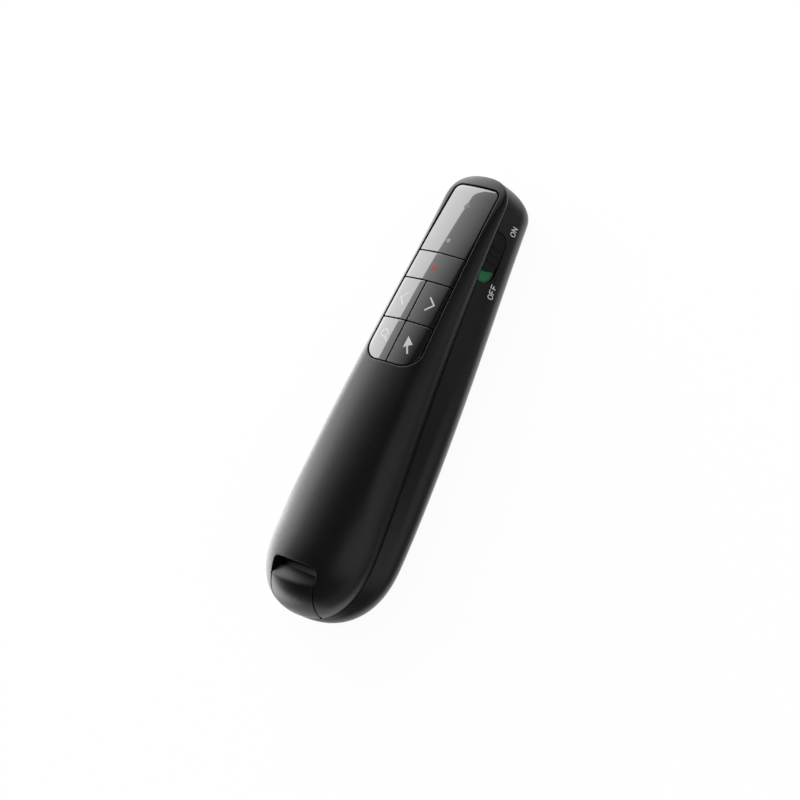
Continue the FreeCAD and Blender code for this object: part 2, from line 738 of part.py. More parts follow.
def receiver_dock():
    """A sleeve for the plug on two legs."""
    half = "(plug_half_width + plug_fit + dock_wall)"
    pocket_low = "(plug_centre_height - plug_height / 2 - plug_fit)"
    pocket_high = "(plug_centre_height + plug_height / 2 + plug_fit)"
    block = box("dock_block", (f"-{half}", half), ("dock_tail", "dock_head"),
                ("wall + seat_gap", f"{pocket_high} + dock_wall"))
    pocket = box("dock_pocket", ("-plug_half_width - plug_fit", "plug_half_width + plug_fit"),
                 ("dock_tail - overrun", "cap_length + plug_length + seat_gap + plug_fit"),
                 (pocket_low, pocket_high))
    legs = ("0", f"{pocket_low} - dock_wall")
    beside = (f"-{half} - overrun", f"{half} + overrun")
    arch = box("dock_arch", (f"-{half} + dock_leg", f"{half} - dock_leg"),
               ("dock_tail - overrun", "dock_head + overrun"), legs)
    heel = box("dock_heel", beside, ("bay_tail - 2 * cover_margin - seat_gap", "dock_head + overrun"), legs)
    toe = box("dock_toe", beside, ("dock_tail - overrun", "dock_leg_tail"), legs)
    return cut("receiver_dock", block, pocket, arch, heel, toe)


# Battery bay

def rounded_block(name, x, y, z, radius):
    """An upright block with its four upright edges rounded."""
    shift = -size.body_length / 2
    shape = Part.makeBox(x[1] - x[0], y[1] - y[0], z[1] - z[0], FreeCAD.Vector(x[0], y[0] + shift, z[0]))
    edges = [e for e in shape.Edges if abs(e.tangentAt(e.FirstParameter).z) > steep_share]
    feature = doc.addObject("Part::Feature", name)
    feature.Shape = shape.makeFillet(radius, edges)
    return feature


def battery_parts():
    """One cell between a plate contact at the head end and a leaf contact at the tail end."""
    nub_end = "(bay_head - contact_sheet - 2 * frame_fit)"
    body_end = f"({nub_end} - cell_nub_length)"
    body_start = f"({body_end} - cell_length)"
    can = along("cell_can", "cell_radius", ("0", "cell_height"), (body_start, body_end))
    nub = along("cell_nub", "cell_nub_radius", ("0", "cell_height"), (f"{body_end} - overrun", nub_end))
    plate = box("plate_contact", ("-contact_half_width", "contact_half_width"),
                ("bay_head - contact_sheet - frame_fit", "bay_head - frame_fit"),
                ("contact_foot", "contact_top"))
    return [fuse("battery_cell", can, nub), plate, leaf_contact()]


def leaf_contact():
    """A bent strip: an upright back, a fold at the top and a bowed leaf that presses on the cell."""
    back = size.bay_tail + size.frame_fit
    press = (size.bay_head - size.contact_sheet - 3 * size.frame_fit - size.cell_nub_length
             - size.cell_length)
    sheet_size = size.contact_sheet
    foot, top, middle = size.contact_foot, size.contact_top, size.cell_height
    shift = -size.body_length / 2
    outline = [(back, foot), (back, top), (back + 3 * sheet_size, top), (press, middle + sheet_size),
               (press, middle - sheet_size), (back + 4 * sheet_size, foot + sheet_size),
               (back + 3 * sheet_size, foot + sheet_size), (press - sheet_size, middle - sheet_size),
               (press - sheet_size, middle + sheet_size), (back + 3 * sheet_size, top - sheet_size),
               (back + sheet_size, top - sheet_size), (back + sheet_size, foot)]
    points = [FreeCAD.Vector(-size.contact_half_width, y + shift, z) for y, z in outline]
    face = Part.Face(Part.makePolygon(points + points[:1]))
    feature = doc.addObject("Part::Feature", "spring_contact")
    feature.Shape = face.extrude(FreeCAD.Vector(2 * size.contact_half_width, 0, 0))
    return feature


def cover_span(grow):
    """The cover's outline: half width and its two ends, grown by a clearance."""
    return ((-size.cover_half_width - grow, size.cover_half_width + grow),
            (size.bay_tail - size.cover_margin - grow, size.bay_head + size.cover_margin + grow))


def battery_cover():
    """A plate flush with the underside, with two guide ribs inside and a ribbed thumb grip outside."""
    x, y = cover_span(0)
    plate = rounded_block("cover_plate", x, y, (size.cover_lift, size.cover_lift + size.cover_thickness),
                          size.cover_corner)
    top = "(cover_lift + cover_thickness)"
    middle = "((bay_tail + bay_head) / 2)"
    ribs = []
    for name, side in (("left", "-1"), ("right", "1")):
        rib_middle = f"({side} * (bay_half_width - cover_fit - cover_rib_width / 2))"
        ribs.append(box(f"cover_rib_{name}", (f"{rib_middle} - cover_rib_width / 2",
                                             f"{rib_middle} + cover_rib_width / 2"),
                        (f"{middle} - cover_rib_length / 2", f"{middle} + cover_rib_length / 2"),
                        (f"{top} - cover_thickness / 2", f"{top} + cover_rib_height")))
    grooves = []
    for step in range(grip_rib_count):
        start = f"bay_tail + {step + 1} * grip_rib_pitch"
        grooves.append(box(f"grip_groove_{step + 1}", ("-grip_half_width", "grip_half_width"),
                           (start, f"{start} + grip_rib_width"),
                           ("cover_lift - overrun", "cover_lift + grip_rib_depth")))
    return cut("battery_cover", fuse("cover_body", plate, *ribs), *grooves)


# Screws that hold the two shells together

screw_places = {
    "tail_left": ("-tail_screw_offset", "tail_screw_place"),
    "tail_right": ("tail_screw_offset", "tail_screw_place"),
    "middle_left": ("-middle_screw_offset", "middle_screw_place"),
    "middle_right": ("middle_screw_offset", "middle_screw_place"),
}


def housing_screws():
    screws = []
    for name, centre in screw_places.items():
        head = upright(f"screw_head_{name}", "screw_head_radius", centre,
                       ("screw_seat - screw_head_height", "screw_seat"))
        shank = upright(f"screw_shank_{name}", "screw_radius", centre,
                        ("screw_seat - screw_head_height / 2", "screw_seat + screw_length"))
        screws.append(fuse(f"screw_{name}", head, shank))
    return group("housing_screws", *screws)


# Laser

def laser_parts():
    barrel = along("laser_module", "laser_radius", ("0", "laser_height"),
                   ("laser_front - laser_length", "laser_front"))
    lens = along("nose_lens", "lens_radius", ("0", "laser_height"),
                 ("laser_front + seat_gap", "laser_front + seat_gap + lens_thickness"))
    return [barrel, lens]


# Housing

def top_shell():
    """The upper moulding: a lofted skin with the button well, the receiver notch and four screw posts."""
    skin = cut("upper_skin", upper_form, upper_hollow, common("rim_groove", groove_form, groove_band))
    surround_half = "(notch_half_width + notch_wall)"
    surround = common("notch_surround", upper_form,
                      box("surround_cell", (f"-{surround_half}", surround_half),
                          ("-overrun", "notch_depth + notch_wall"), ("0", ceiling)))
    posts = common("screw_posts", upper_form,
                   group("post_bars", *[upright(f"post_{name}", "post_radius", centre,
                                               ("boss_top + post_gap", ceiling))
                                        for name, centre in screw_places.items()]))
    notch = rounded_block("notch_cell", (-size.notch_half_width, size.notch_half_width),
                          (-2 * size.notch_corner - size.overrun, size.notch_depth),
                          (0, size.body_length), size.notch_corner)
    plug_way = box("plug_way", ("-plug_half_width - plug_fit", "plug_half_width + plug_fit"),
                   ("notch_depth - overrun", "notch_depth + notch_wall + overrun"),
                   ("plug_centre_height - plug_height / 2 - plug_fit",
                    "plug_centre_height + plug_height / 2 + plug_fit"))
    pilots = [upright(f"pilot_{name}", "screw_radius + screw_fit", centre,
                      ("0", "screw_seat + screw_length + overrun / 2"))
              for name, centre in screw_places.items()]
    return cut("top_shell", fuse("upper_moulding", skin, surround, posts), well, notch, plug_way, *pilots)


def bottom_shell():
    """The lower moulding: flared sides, underside, battery bay, bosses, board posts and laser saddle."""
    above_floor = box("above_floor", ("-2 * tail_half_width", "2 * tail_half_width"),
                      ("-overrun", "body_length + overrun"), ("0", ceiling))
    skin = cut("lower_skin", common("flat_bottomed_form", lower_form, above_floor), lower_hollow)
    low = "wall / 2"
    bay_half = "(bay_half_width + bay_wall)"
    tray = box("bay_tray", (f"-{bay_half}", bay_half), ("bay_tail - bay_wall", "bay_head + bay_wall"),
               (low, "bay_roof + bay_wall"))
    pad_half = "(cover_half_width + cover_margin)"
    pad = box("cover_pad", (f"-{pad_half}", pad_half),
              ("bay_tail - 2 * cover_margin", "bay_head + 2 * cover_margin"),
              (low, "cover_lift + cover_thickness + cover_ledge"))
    bosses = [upright(f"boss_{name}", "boss_radius", centre, (low, "boss_top"))
              for name, centre in screw_places.items()]
    posts = [upright(f"board_post_{end}_{side}", "board_post_radius",
                     (f"{sign} * (board_half_width - board_post_inset)", y), (low, "board_underside"))
             for end, y in (("tail", "board_tail + board_post_inset"),
                            ("head", "board_head - board_post_inset"))
             for side, sign in (("left", "-1"), ("right", "1"))]
    saddle = box("laser_saddle", ("-holder_half_width", "holder_half_width"),
                 ("holder_tail", "holder_tail + holder_length"), (low, "laser_height"))
    x, y = cover_span(size.cover_fit)
    recess = rounded_block("cover_recess", x, y,
                           (-size.overrun, size.cover_lift + size.cover_thickness + size.frame_fit),
                           size.cover_corner + size.cover_fit)
    bay = box("bay_room", ("-bay_half_width", "bay_half_width"), ("bay_tail", "bay_head"), ("0", "bay_roof"))
    holes = [upright(f"screw_way_{name}", "screw_radius + screw_fit", centre, ("0", ceiling))
             for name, centre in screw_places.items()]
    sinks = [upright(f"head_way_{name}", "head_hole_radius", centre, ("-overrun", "screw_seat"))
             for name, centre in screw_places.items()]
    bore = along("laser_bore", "laser_radius + laser_fit", ("0", "laser_height"),
                 ("holder_tail - overrun", "laser_front + seat_gap"))
    nose = along("nose_hole", "lens_radius + lens_fit", ("0", "laser_height"),
                 ("laser_front", "body_length + overrun"))
    floor_half = "(notch_half_width + notch_wall)"
    notch_end = "(notch_depth + notch_wall)"
    notch_base = common("notch_floor", lower_form,
                        box("notch_floor_cell", (f"-{floor_half}", floor_half), ("-overrun", notch_end),
                            ("tail_seam_height - notch_floor", ceiling)))
    cleared = box("tongue_break", (f"-{floor_half} - tongue_fit", f"{floor_half} + tongue_fit"),
                  ("-overrun", f"{notch_end} + tongue_fit"), ("0", ceiling))
    tongue = cut("rim_tongue", common("tongue_ring", tongue_form, tongue_band), tongue_room, cleared)
    moulding = fuse("lower_moulding", skin, tray, pad, saddle, notch_base, *bosses, *posts)
    hollowed = cut("lower_hollowed", moulding, recess, bay, bore, nose, slot_cutter, *holes, *sinks)
    return fuse("bottom_shell", hollowed, tongue)


keys = [key(name) for name in key_layout]
window_and_guide = light_guide_parts()
side_frame = switch_placement()
slot_cutter, switch_pieces = switch_parts()
tacts = [tact_switch("tact_switch_" + name.split("_")[0], name) for name in key_layout]
nodes = [top_shell(), bottom_shell(), *window_and_guide, *keys, carrier(), *board_parts(), *tacts,
         *switch_pieces, *receiver_parts(), receiver_dock(), *battery_parts(), battery_cover(),
         housing_screws(), *laser_parts()]
doc.recompute()

for thing in doc.Objects:
    if "Invalid" in thing.State or "Error" in thing.State:
        raise RuntimeError(f"{thing.Name} did not recompute: {thing.State}")
os.makedirs("parts", exist_ok=True)
for node in nodes:
    node.Label = node.Name
    shape = node.Shape
    if shape.isNull() or not shape.isValid() or not shape.Solids:
        raise RuntimeError(f"{node.Name} has no valid solid")
    shape.exportStep(f"parts/{node.Name}.step")
    print(f"{node.Name}: {len(shape.Solids)} solids, {shape.Volume:.1f} mm3")
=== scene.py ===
from math import pi

import bmesh
import bpy
import numpy as np
from mathutils import Matrix, Vector


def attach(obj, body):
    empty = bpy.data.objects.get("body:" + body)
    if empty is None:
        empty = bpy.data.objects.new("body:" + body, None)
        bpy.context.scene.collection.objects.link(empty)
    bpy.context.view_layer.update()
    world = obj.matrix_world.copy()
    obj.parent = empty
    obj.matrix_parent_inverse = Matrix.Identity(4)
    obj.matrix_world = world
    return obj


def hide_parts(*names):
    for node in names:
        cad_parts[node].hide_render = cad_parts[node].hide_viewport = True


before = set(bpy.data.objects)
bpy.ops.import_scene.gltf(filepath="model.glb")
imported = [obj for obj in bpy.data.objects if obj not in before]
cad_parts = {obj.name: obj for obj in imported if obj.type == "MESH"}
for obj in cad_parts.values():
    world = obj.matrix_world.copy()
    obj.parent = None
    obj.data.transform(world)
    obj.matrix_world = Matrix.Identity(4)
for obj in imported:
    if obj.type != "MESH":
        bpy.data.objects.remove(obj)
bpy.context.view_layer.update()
print("frame loaded:", len(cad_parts), "nodes")

# Shapes are worked out in millimetres, with y counted from the tail end.
# makePiece puts them in metres, with the middle of the length at the origin.

form = {
    "length": 140.0,
    "tailHalf": 17.2, "headHalf": 10.5, "waistPower": 0.94,
    "tailCrown": 25.3, "headCrown": 15.4, "crownPower": 2.37,
    "tailSeam": 10.1, "headSeam": 13.3,
    "tailPlan": (24.8, 2.43), "headPlan": (9.5, 2.40),  # length and power of each end's rounding
    "tailSide": (20.3, 2.36), "headSide": (7.4, 2.20),
    "shoulders": (12.1, 3.3), "arches": (18.2, 35.1),  # radii at the tail and at the head
    "blend": (0.171, 0.936),  # shares of the length between which they change
    "endFlare": 2.7, "middleFlare": 5.3, "skirtCorner": 5.5, "floorTrim": 0.15,
    "seamGap": 0.1, "seamBevel": 0.14,
    "wallShare": 0.1, "leastArch": 0.3, "archSlack": 1.05, "cornerLimit": 0.45, "leastSize": 1e-4,
}

meshing = {
    "perMetre": 1000, "tiny": 1e-9,
    "weld": 1.5e-6, "sliver": 1e-6,  # metres
    "sharpAngle": 32,  # degrees
    "spacing": 0.3, "cornerSteps": 9,  # along a rounded outline
    "endSteps": 500, "sideSteps": 700,  # along the rim
    "tipSteps": 400,  # of its first points, over which it widens from the tail tip
}


def between(first, last, share):
    # first + (last - first) * share
    return first + (last - first) * share


def unit(vectors):
    # each row divided by its length
    return vectors / np.maximum(np.linalg.norm(vectors, axis=1, keepdims=True), meshing["tiny"])


def ringPoints(middle, reach, angles):
    # middle + reach * (cos, sin) of each angle
    return middle + reach * np.column_stack([np.cos(angles), np.sin(angles)])


def rounding(share, power):
    # quarter of a superellipse: (1 - (1 - share)^power)^(1/power)
    share = np.clip(share, 0.0, 1.0)
    return (1 - (1 - share) ** power) ** (1 / power)


def endsRounding(y, tail, head):
    # the tail's rounding by the distance from the tail, times the head's by that from the head
    toHead = form["length"] - y
    return rounding(y / tail[0], tail[1]) * rounding(toHead / head[0], head[1])


def sectionAt(y):
    # cross-section at y: an upright wall, a shoulder arc and a crown arc above the seam,
    # and a flared skirt with a rounded corner below it
    y = np.asarray(y, float)
    run = np.clip(y / form["length"], 0, 1)
    waist = (1 + np.cos(pi * run ** form["waistPower"])) / 2
    seamHalf = between(form["headHalf"], form["tailHalf"], waist)
    crown = between(form["tailCrown"], form["headCrown"], run ** form["crownPower"])
    seam = between(form["tailSeam"], form["headSeam"], np.sin(pi / 2 * run))
    flare = between(form["endFlare"], form["middleFlare"], np.sin(pi * run))
    plan = endsRounding(y, form["tailPlan"], form["headPlan"])
    side = endsRounding(y, form["tailSide"], form["headSide"])
    low, high = form["blend"]
    blend = np.clip((run - low) / (high - low), 0, 1)
    shoulder, arch = between(*form["shoulders"], blend), between(*form["arches"], blend)
    half = np.maximum(seamHalf * plan, form["leastSize"])
    top = seam + np.maximum((crown - seam) * side, form["leastSize"])
    # the crown's arc is wide enough to reach the wall, and the shoulder's fits between the two
    drop = (top - seam) * (1 - form["wallShare"])
    needed = form["archSlack"] * (half ** 2 + drop ** 2) / (2 * drop)
    arch = np.maximum(arch * np.maximum(plan, form["leastArch"]), needed)
    limit = (arch ** 2 - half ** 2 - (arch - drop) ** 2) / (2 * (arch - half))
    shoulder = np.minimum(shoulder * np.minimum(plan, side), limit)
    shoulderX = half - shoulder
    centre = top - arch
    shoulderZ = centre + np.sqrt(np.maximum((arch - shoulder) ** 2 - shoulderX ** 2, 0))
    floor = seam - (seam + form["floorTrim"]) * np.maximum(side, plan)
    corner = np.minimum(form["skirtCorner"] * plan, form["cornerLimit"] * (seam - floor))
    return {"seam": seam, "half": half, "arch": arch, "centre": centre,
            "base": seam + form["seamGap"] * side,
            "shoulder": shoulder, "shoulderX": shoulderX, "shoulderZ": shoulderZ,
            "corner": corner, "cornerX": (seamHalf + flare) * plan - corner,
            "cornerZ": floor + corner}


def crownHeight(x, y):
    # height of the upper skin: the crown's circle inside the shoulders, the shoulder's outside
    s = sectionAt(y)
    across = np.minimum(np.abs(x), s["half"])
    turn = np.arctan2(s["shoulderZ"] - s["centre"], np.maximum(s["shoulderX"], meshing["tiny"]))
    crown = s["centre"] + np.sqrt(np.maximum(s["arch"] ** 2 - across ** 2, 0))
    reach = np.maximum(s["shoulder"] ** 2 - (across - s["shoulderX"]) ** 2, 0)
    return np.where(across <= s["arch"] * np.cos(turn), crown, s["shoulderZ"] + np.sqrt(reach))


def flankPoint(y, down):
    # x and z of the lower skin on the +X side, by the distance down from the seam: the straight
    # flank, which touches the corner's arc, then that arc; and the flank's outward normal
    s = sectionAt(y)
    tiny, corner, rim = meshing["tiny"], s["corner"], s["seam"] - form["seamGap"]
    across, up = s["half"] - s["cornerX"], rim - s["cornerZ"]
    reach = np.sqrt(np.maximum(across ** 2 + up ** 2 - corner ** 2, 0))
    span = np.maximum(np.hypot(across, up), tiny)
    turn = np.arctan2(up, across) - np.arccos(np.clip(corner / span, -1, 1))
    touchX, touchZ = s["cornerX"] + corner * np.cos(turn), s["cornerZ"] + corner * np.sin(turn)
    share = np.clip(down / np.maximum(reach, tiny), 0, 1)
    angle = turn - np.clip((down - reach) / np.maximum(corner, tiny), 0, turn + pi / 2)
    arcX, arcZ = s["cornerX"] + corner * np.cos(angle), s["cornerZ"] + corner * np.sin(angle)
    x = np.where(down <= reach, between(s["half"], touchX, share), arcX)
    z = np.where(down <= reach, between(rim, touchZ, share), arcZ)
    return x, z, np.cos(turn), np.sin(turn)


def rimCurve():
    # half of the seam's plan, from the tail tip round to the head tip, with its running length
    turn = np.linspace(0, pi / 2, meshing["endSteps"])
    tailEnd, tailPower = form["tailPlan"]
    headEnd, headPower = form["headPlan"]
    tail = tailEnd * (1 - np.cos(turn) ** (2 / tailPower))
    side = np.linspace(tailEnd, form["length"] - headEnd, meshing["sideSteps"])
    head = form["length"] - headEnd * (1 - np.sin(turn) ** (2 / headPower))
    y = np.concatenate([tail, side[1:-1], head])
    x = sectionAt(y)["half"]
    x[0] = x[-1] = 0
    return x, y, np.concatenate([[0], np.cumsum(np.hypot(np.diff(x), np.diff(y)))])


def tipPlace(x):
    # y of the rim beside the tail tip, by the distance from the middle
    rimX, rimY, _ = rimCurve()
    tip = meshing["tipSteps"]
    return np.interp(np.abs(x), rimX[:tip], rimY[:tip])


def gridFaces(points, wrapped=False):
    # rows and columns of points joined by four-sided faces; wrapped joins the last column
    # to the first
    rows, columns = points.shape[:2]
    index = np.arange(rows * columns).reshape(rows, columns)
    here, beside = index[:, :-1], index[:, 1:]
    if wrapped:
        here, beside = index, np.roll(index, -1, axis=1)
    faces = np.stack([here[:-1], beside[:-1], beside[1:], here[1:]], axis=-1)
    return points.reshape(-1, 3), faces.reshape(-1, 4)


def makePiece(name, grids, body, replaced):
    # joins the grids, welds their seams and poles, turns faces outwards and shades by angle
    starts = np.cumsum([0, *[len(part) for part, _ in grids]])
    points = np.vstack([part for part, _ in grids]) - (0, form["length"] / 2, 0)
    faces = np.vstack([part + start for (_, part), start in zip(grids, starts)])
    mesh = bpy.data.meshes.new(name)
    mesh.from_pydata((points / meshing["perMetre"]).tolist(), [], faces.tolist())
    work = bmesh.new()
    work.from_mesh(mesh)
    bmesh.ops.remove_doubles(work, verts=work.verts, dist=meshing["weld"])
    bmesh.ops.dissolve_degenerate(work, edges=work.edges, dist=meshing["sliver"])
    bmesh.ops.recalc_face_normals(work, faces=work.faces)
    work.to_mesh(mesh)
    work.free()
    mesh.polygons.foreach_set("use_smooth", np.ones(len(mesh.polygons), bool))
    mesh.set_sharp_from_angle(angle=meshing["sharpAngle"] * pi / 180)
    piece = bpy.data.objects.new(name, mesh)
    bpy.context.scene.collection.objects.link(piece)
    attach(piece, body)
    if replaced:
        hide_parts(*replaced)


def outwardOf(loop, closed=True):
    # unit vectors square to a plan loop that runs against the clock; an open half loop is
    # mirrored at its ends
    if closed:
        tangent = np.roll(loop, -1, axis=0) - np.roll(loop, 1, axis=0)
    else:
        padded = np.vstack([loop[1] * (-1, 1), loop, loop[-2] * (-1, 1)])
        tangent = padded[2:] - padded[:-2]
    return unit(np.column_stack([tangent[:, 1], -tangent[:, 0]]))


def edgeRows(loop, outward, radius, angles):
    # rows that bend a sheet's edge down by a quarter round: outward by r sin(a) and down by
    # r (1 - cos(a))
    rows = loop[:, :2] + outward * radius[:, None] * np.sin(angles)[:, None, None]
    return np.dstack([rows, loop[:, 2] - radius * (1 - np.cos(angles))[:, None]])


def roundedLoop(corners, radii):
    # polygon against the clock: each corner is an arc, and the straight runs are divided evenly
    corners = np.asarray(corners, float)
    befores = unit(np.roll(corners, 1, axis=0) - corners)
    afters = unit(np.roll(corners, -1, axis=0) - corners)
    arcs = []
    for corner, before, after, radius in zip(corners, befores, afters, radii):
        halfAngle = np.arccos(before @ after) / 2
        bisector = (before + after) / np.linalg.norm(before + after)
        centre = corner + bisector * radius / np.sin(halfAngle)
        reach = radius / np.tan(halfAngle)
        start, end = corner + before * reach - centre, corner + after * reach - centre
        first, last = np.arctan2(start[1], start[0]), np.arctan2(end[1], end[0])
        last = first + (last - first + pi) % (2 * pi) - pi
        arcs.append(ringPoints(centre, radius, np.linspace(first, last, meshing["cornerSteps"])))
    out = []
    for arc, following in zip(arcs, arcs[1:] + arcs[:1]):
        run = following[0] - arc[-1]
        count = max(int(np.linalg.norm(run) / meshing["spacing"]), 1)
        out += [arc, arc[-1] + run * np.linspace(0, 1, count + 1)[1:-1, None]]
    return np.vstack(out)


# Button field: five keys and the window

field = {
    "tail": 75.2, "head": 135.35, "tailHalf": 8.95, "headHalf": 7.4,
    "tailCorner": 5.2, "headCorner": 2.0, "smallCorner": 0.3,
    "pageLine": 88.6, "laserLine": 102.15, "windowLine": 111.65,  # the gaps across the field
    "gap": 0.4, "margin": 0.4, "recess": 0.25, "thickness": 1.6, "edge": 0.07,
    "guidePlace": 116.2, "guideRadius": 0.98,
    "rings": 24, "edgeRows": 6, "underRows": 6,
}


def fieldHalf(y):
    # half width of the field, straight from its tail to its head
    share = (y - field["tail"]) / (field["head"] - field["tail"])
    return between(field["tailHalf"], field["headHalf"], share)


def onField(plan, lift):
    # lays plan points on the crown, lower by the field's recess and then raised by lift
    return np.dstack([plan, crownHeight(plan[..., 0], plan[..., 1]) - field["recess"] + lift])


def plate(name, low, high, onLeft, onRight, body, node, radii, hole=None):
    # rings run from the middle, or from a hole, to the outline; then come a quarter-round edge,
    # a wall and the underside
    inner, edge = field["gap"] / 2, field["edge"]
    rightLow, rightHigh = [fieldHalf(y) if onRight else -inner for y in (low, high)]
    leftLow, leftHigh = [-fieldHalf(y) if onLeft else inner for y in (low, high)]
    corners = [(rightLow, low), (rightHigh, high), (leftHigh, high), (leftLow, low)]
    outline = roundedLoop(corners, radii)
    outward = outwardOf(outline)
    flat = outline - outward * edge
    middleX, middleY, radius = hole or ((rightLow + leftHigh) / 2, (low + high) / 2, 0)
    middle = np.array([middleX, middleY])
    start = middle + unit(flat - middle) * radius
    top = onField(between(start, flat, np.linspace(0, 1, field["rings"])[:, None, None]), 0)
    bend = np.linspace(0, pi / 2, field["edgeRows"])[1:, None]
    rim = top[-1, :, 2]
    slope = onField(outline[None], 0)[0, :, 2] - rim
    bent = flat + outward * edge * np.sin(bend)[..., None]
    bent = np.dstack([bent, rim + slope * np.sin(bend) - edge * (1 - np.cos(bend))])
    under = between(start, outline, np.linspace(1, 0, field["underRows"])[:, None, None])
    grid = np.vstack([top, bent, onField(under, -field["thickness"])])
    if hole:
        grid = np.vstack([grid, grid[:1]])
    makePiece(name, [gridFaces(grid, wrapped=True)], body, [node])


def makeField():
    # each plate stops half a gap short of the lines between it and its neighbours
    half, small, corner = field["gap"] / 2, field["smallCorner"], field["tailCorner"]
    page, laser, window = field["pageLine"], field["laserLine"], field["windowLine"]
    plate("laserKey", laser + half, window - half, True, True,
          "laser_button_body", "laser_button", [small] * 4)
    plate("backKey", page + half, laser - half, True, False,
          "back_button_body", "back_button", [small] * 4)
    plate("forwardKey", page + half, laser - half, False, True,
          "forward_button_body", "forward_button", [small] * 4)
    plate("zoomKey", field["tail"], page - half, True, False,
          "zoom_button_body", "zoom_button", [small, small, small, corner])
    plate("pointerKey", field["tail"], page - half, False, True,
          "pointer_button_body", "pointer_button", [corner, small, small, small])
    plate("headWindow", window + half, field["head"], True, True,
          "housing", "front_window", [small, field["headCorner"], field["headCorner"], small],
          (0, field["guidePlace"], field["guideRadius"]))


makeField()
print("keys and window made")


# Upper shell: one half is a strip along the side and a block between the notch and the well

upper = {
    "notchHalf": 7.5, "notchDepth": 12.6, "notchCorner": 1.8,
    "edge": 0.26, "wall": 1.4, "wellDepth": 1.4, "bevelShare": 0.4,
    "socketHalf": 6.25, "socketTop": 19.05, "socketFoot": 14.15,
    "rimBack": 15.0, "rimLead": 1.0, "rimTrail": 1.5, "rimHead": 137.6,  # where stretches meet
    "notchRows": 26, "backRows": 120, "sideRows": 64, "cornerRows": 14, "headRows": 22,
    "stripColumns": 34, "backColumns": 26, "fadeColumns": 6, "bendRows": 6, "bevelRows": 4,
}


def upperOutlines():
    # the strip's inner side: notch wall, a guide over the back, well side, well corner and well
    # head; and its rim, on which each of these has its own stretch
    edge, corner = upper["edge"], upper["notchCorner"] + upper["edge"]
    notchX, notchY = upper["notchHalf"] + edge, upper["notchDepth"] + edge
    rimX, rimY, run = rimCurve()
    tip = meshing["tipSteps"]
    startRun = np.interp(notchX, rimX[:tip], run[:tip])
    startY = np.interp(startRun, run, rimY)
    out = field["margin"] + edge
    tailCorner, headCorner = field["tailCorner"] + out, field["headCorner"] + out
    tailY, headY = field["tail"] - out, field["head"] + out
    sideTail, sideHead = tailY + tailCorner, headY - headCorner
    notchSide = np.linspace(startY, notchY - corner, upper["notchRows"], endpoint=False)
    back = np.linspace(notchY - corner, sideTail, upper["backRows"], endpoint=False)
    side = np.linspace(sideTail, sideHead, upper["sideRows"], endpoint=False)
    turn = np.linspace(0, pi / 2, upper["cornerRows"], endpoint=False)
    headCentre = fieldHalf(sideHead) + out - headCorner
    across = np.linspace(1, 0, upper["headRows"])
    share = (back - back[0]) / (sideTail - back[0])
    guide = notchX + (fieldHalf(sideTail) + out - notchX) * share ** 2 * (3 - 2 * share)
    innerX = np.concatenate([np.full(len(notchSide), notchX), guide, fieldHalf(side) + out,
                             headCentre + headCorner * np.cos(turn), headCentre * across])
    innerY = np.concatenate([notchSide, back, side, sideHead + headCorner * np.sin(turn),
                             np.full(len(across), headY)])
    counts = [len(notchSide), len(back), len(side), len(turn), len(across) - 1]
    marks = np.cumsum([0, *counts])
    ends = [upper["rimBack"], sideTail + upper["rimLead"], sideHead - upper["rimTrail"],
            upper["rimHead"]]
    places = [startRun, *np.interp(ends, rimY, run), run[-1]]
    rimRun = np.interp(np.arange(len(innerX)), marks, places)
    inner = np.column_stack([innerX, innerY])
    rim = np.column_stack([np.interp(rimRun, run, rimX), np.interp(rimRun, run, rimY)])
    return inner, rim, (notchX, notchY, corner), (tailY, tailCorner), marks


def easedSteps(count):
    # 1 - (1 - t)^2 for even t, so that the steps close up towards 1
    return 1 - (1 - np.linspace(0, 1, count)) ** 2


def cornerRise(x, half, radius):
    # how far a corner's arc lies beyond its centre along y, at x: the root of the squared radius
    # less the squared distance of x past the centre
    bulge = np.maximum(x - half + radius, 0)
    return np.sqrt(np.maximum(radius ** 2 - bulge ** 2, 0))


def halfShell(sign):
    # sheets of one half and the sheets inside them, and the half loops along the well and along
    # the notch and rim
    inner, rim, (notchX, notchY, corner), (tailY, tailCorner), marks = upperOutlines()
    share = easedSteps(upper["stripColumns"])[None, :, None]
    strip = inner[:, None] + (rim - inner)[:, None] * share
    direction = unit(rim - inner)
    spread = easedSteps(upper["backColumns"])
    guideX, guideY = inner[marks[1]:marks[2] + 1].T
    low = notchY - corner + cornerRise(spread * notchX, notchX, corner)
    high = tailY + tailCorner - cornerRise(spread * guideX[-1], guideX[-1], tailCorner)
    rise = ((guideY - guideY[0]) / (guideY[-1] - guideY[0]))[:, None]
    back = np.dstack([guideX[:, None] * spread, between(low, high, rise)])

    def lifted(plan, drop):
        # lays plan points on the crown, lower by drop, on this half's side
        height = crownHeight(plan[..., 0], plan[..., 1])
        return np.dstack([plan[..., 0] * sign, plan[..., 1], height - drop])

    stripTop, backTop = lifted(strip, 0), lifted(back, 0)
    stripUnder = lifted(strip, upper["wall"] * (1 - share[..., 0]))
    stripUnder[..., :2] = (strip - direction[:, None] * share * upper["wall"]) * (sign, 1)
    backUnder = lifted(back, upper["wall"])
    wellLoop = np.vstack([backTop[-1], stripTop[marks[2] + 1:, 0]])
    wellUnder = np.vstack([backUnder[-1], stripUnder[marks[2] + 1:, 0]])
    rimLoop = np.vstack([backTop[0], stripTop[:marks[1], 0][::-1], stripTop[1:, -1]])
    rimUnder = np.vstack([backUnder[0], stripUnder[:marks[1], 0][::-1], stripUnder[1:, -1]])
    notchCount = len(backTop[0]) + marks[1]
    sheets = (stripTop, backTop, stripUnder, backUnder)
    return sheets, (wellLoop, wellUnder), (rimLoop, rimUnder, notchCount)


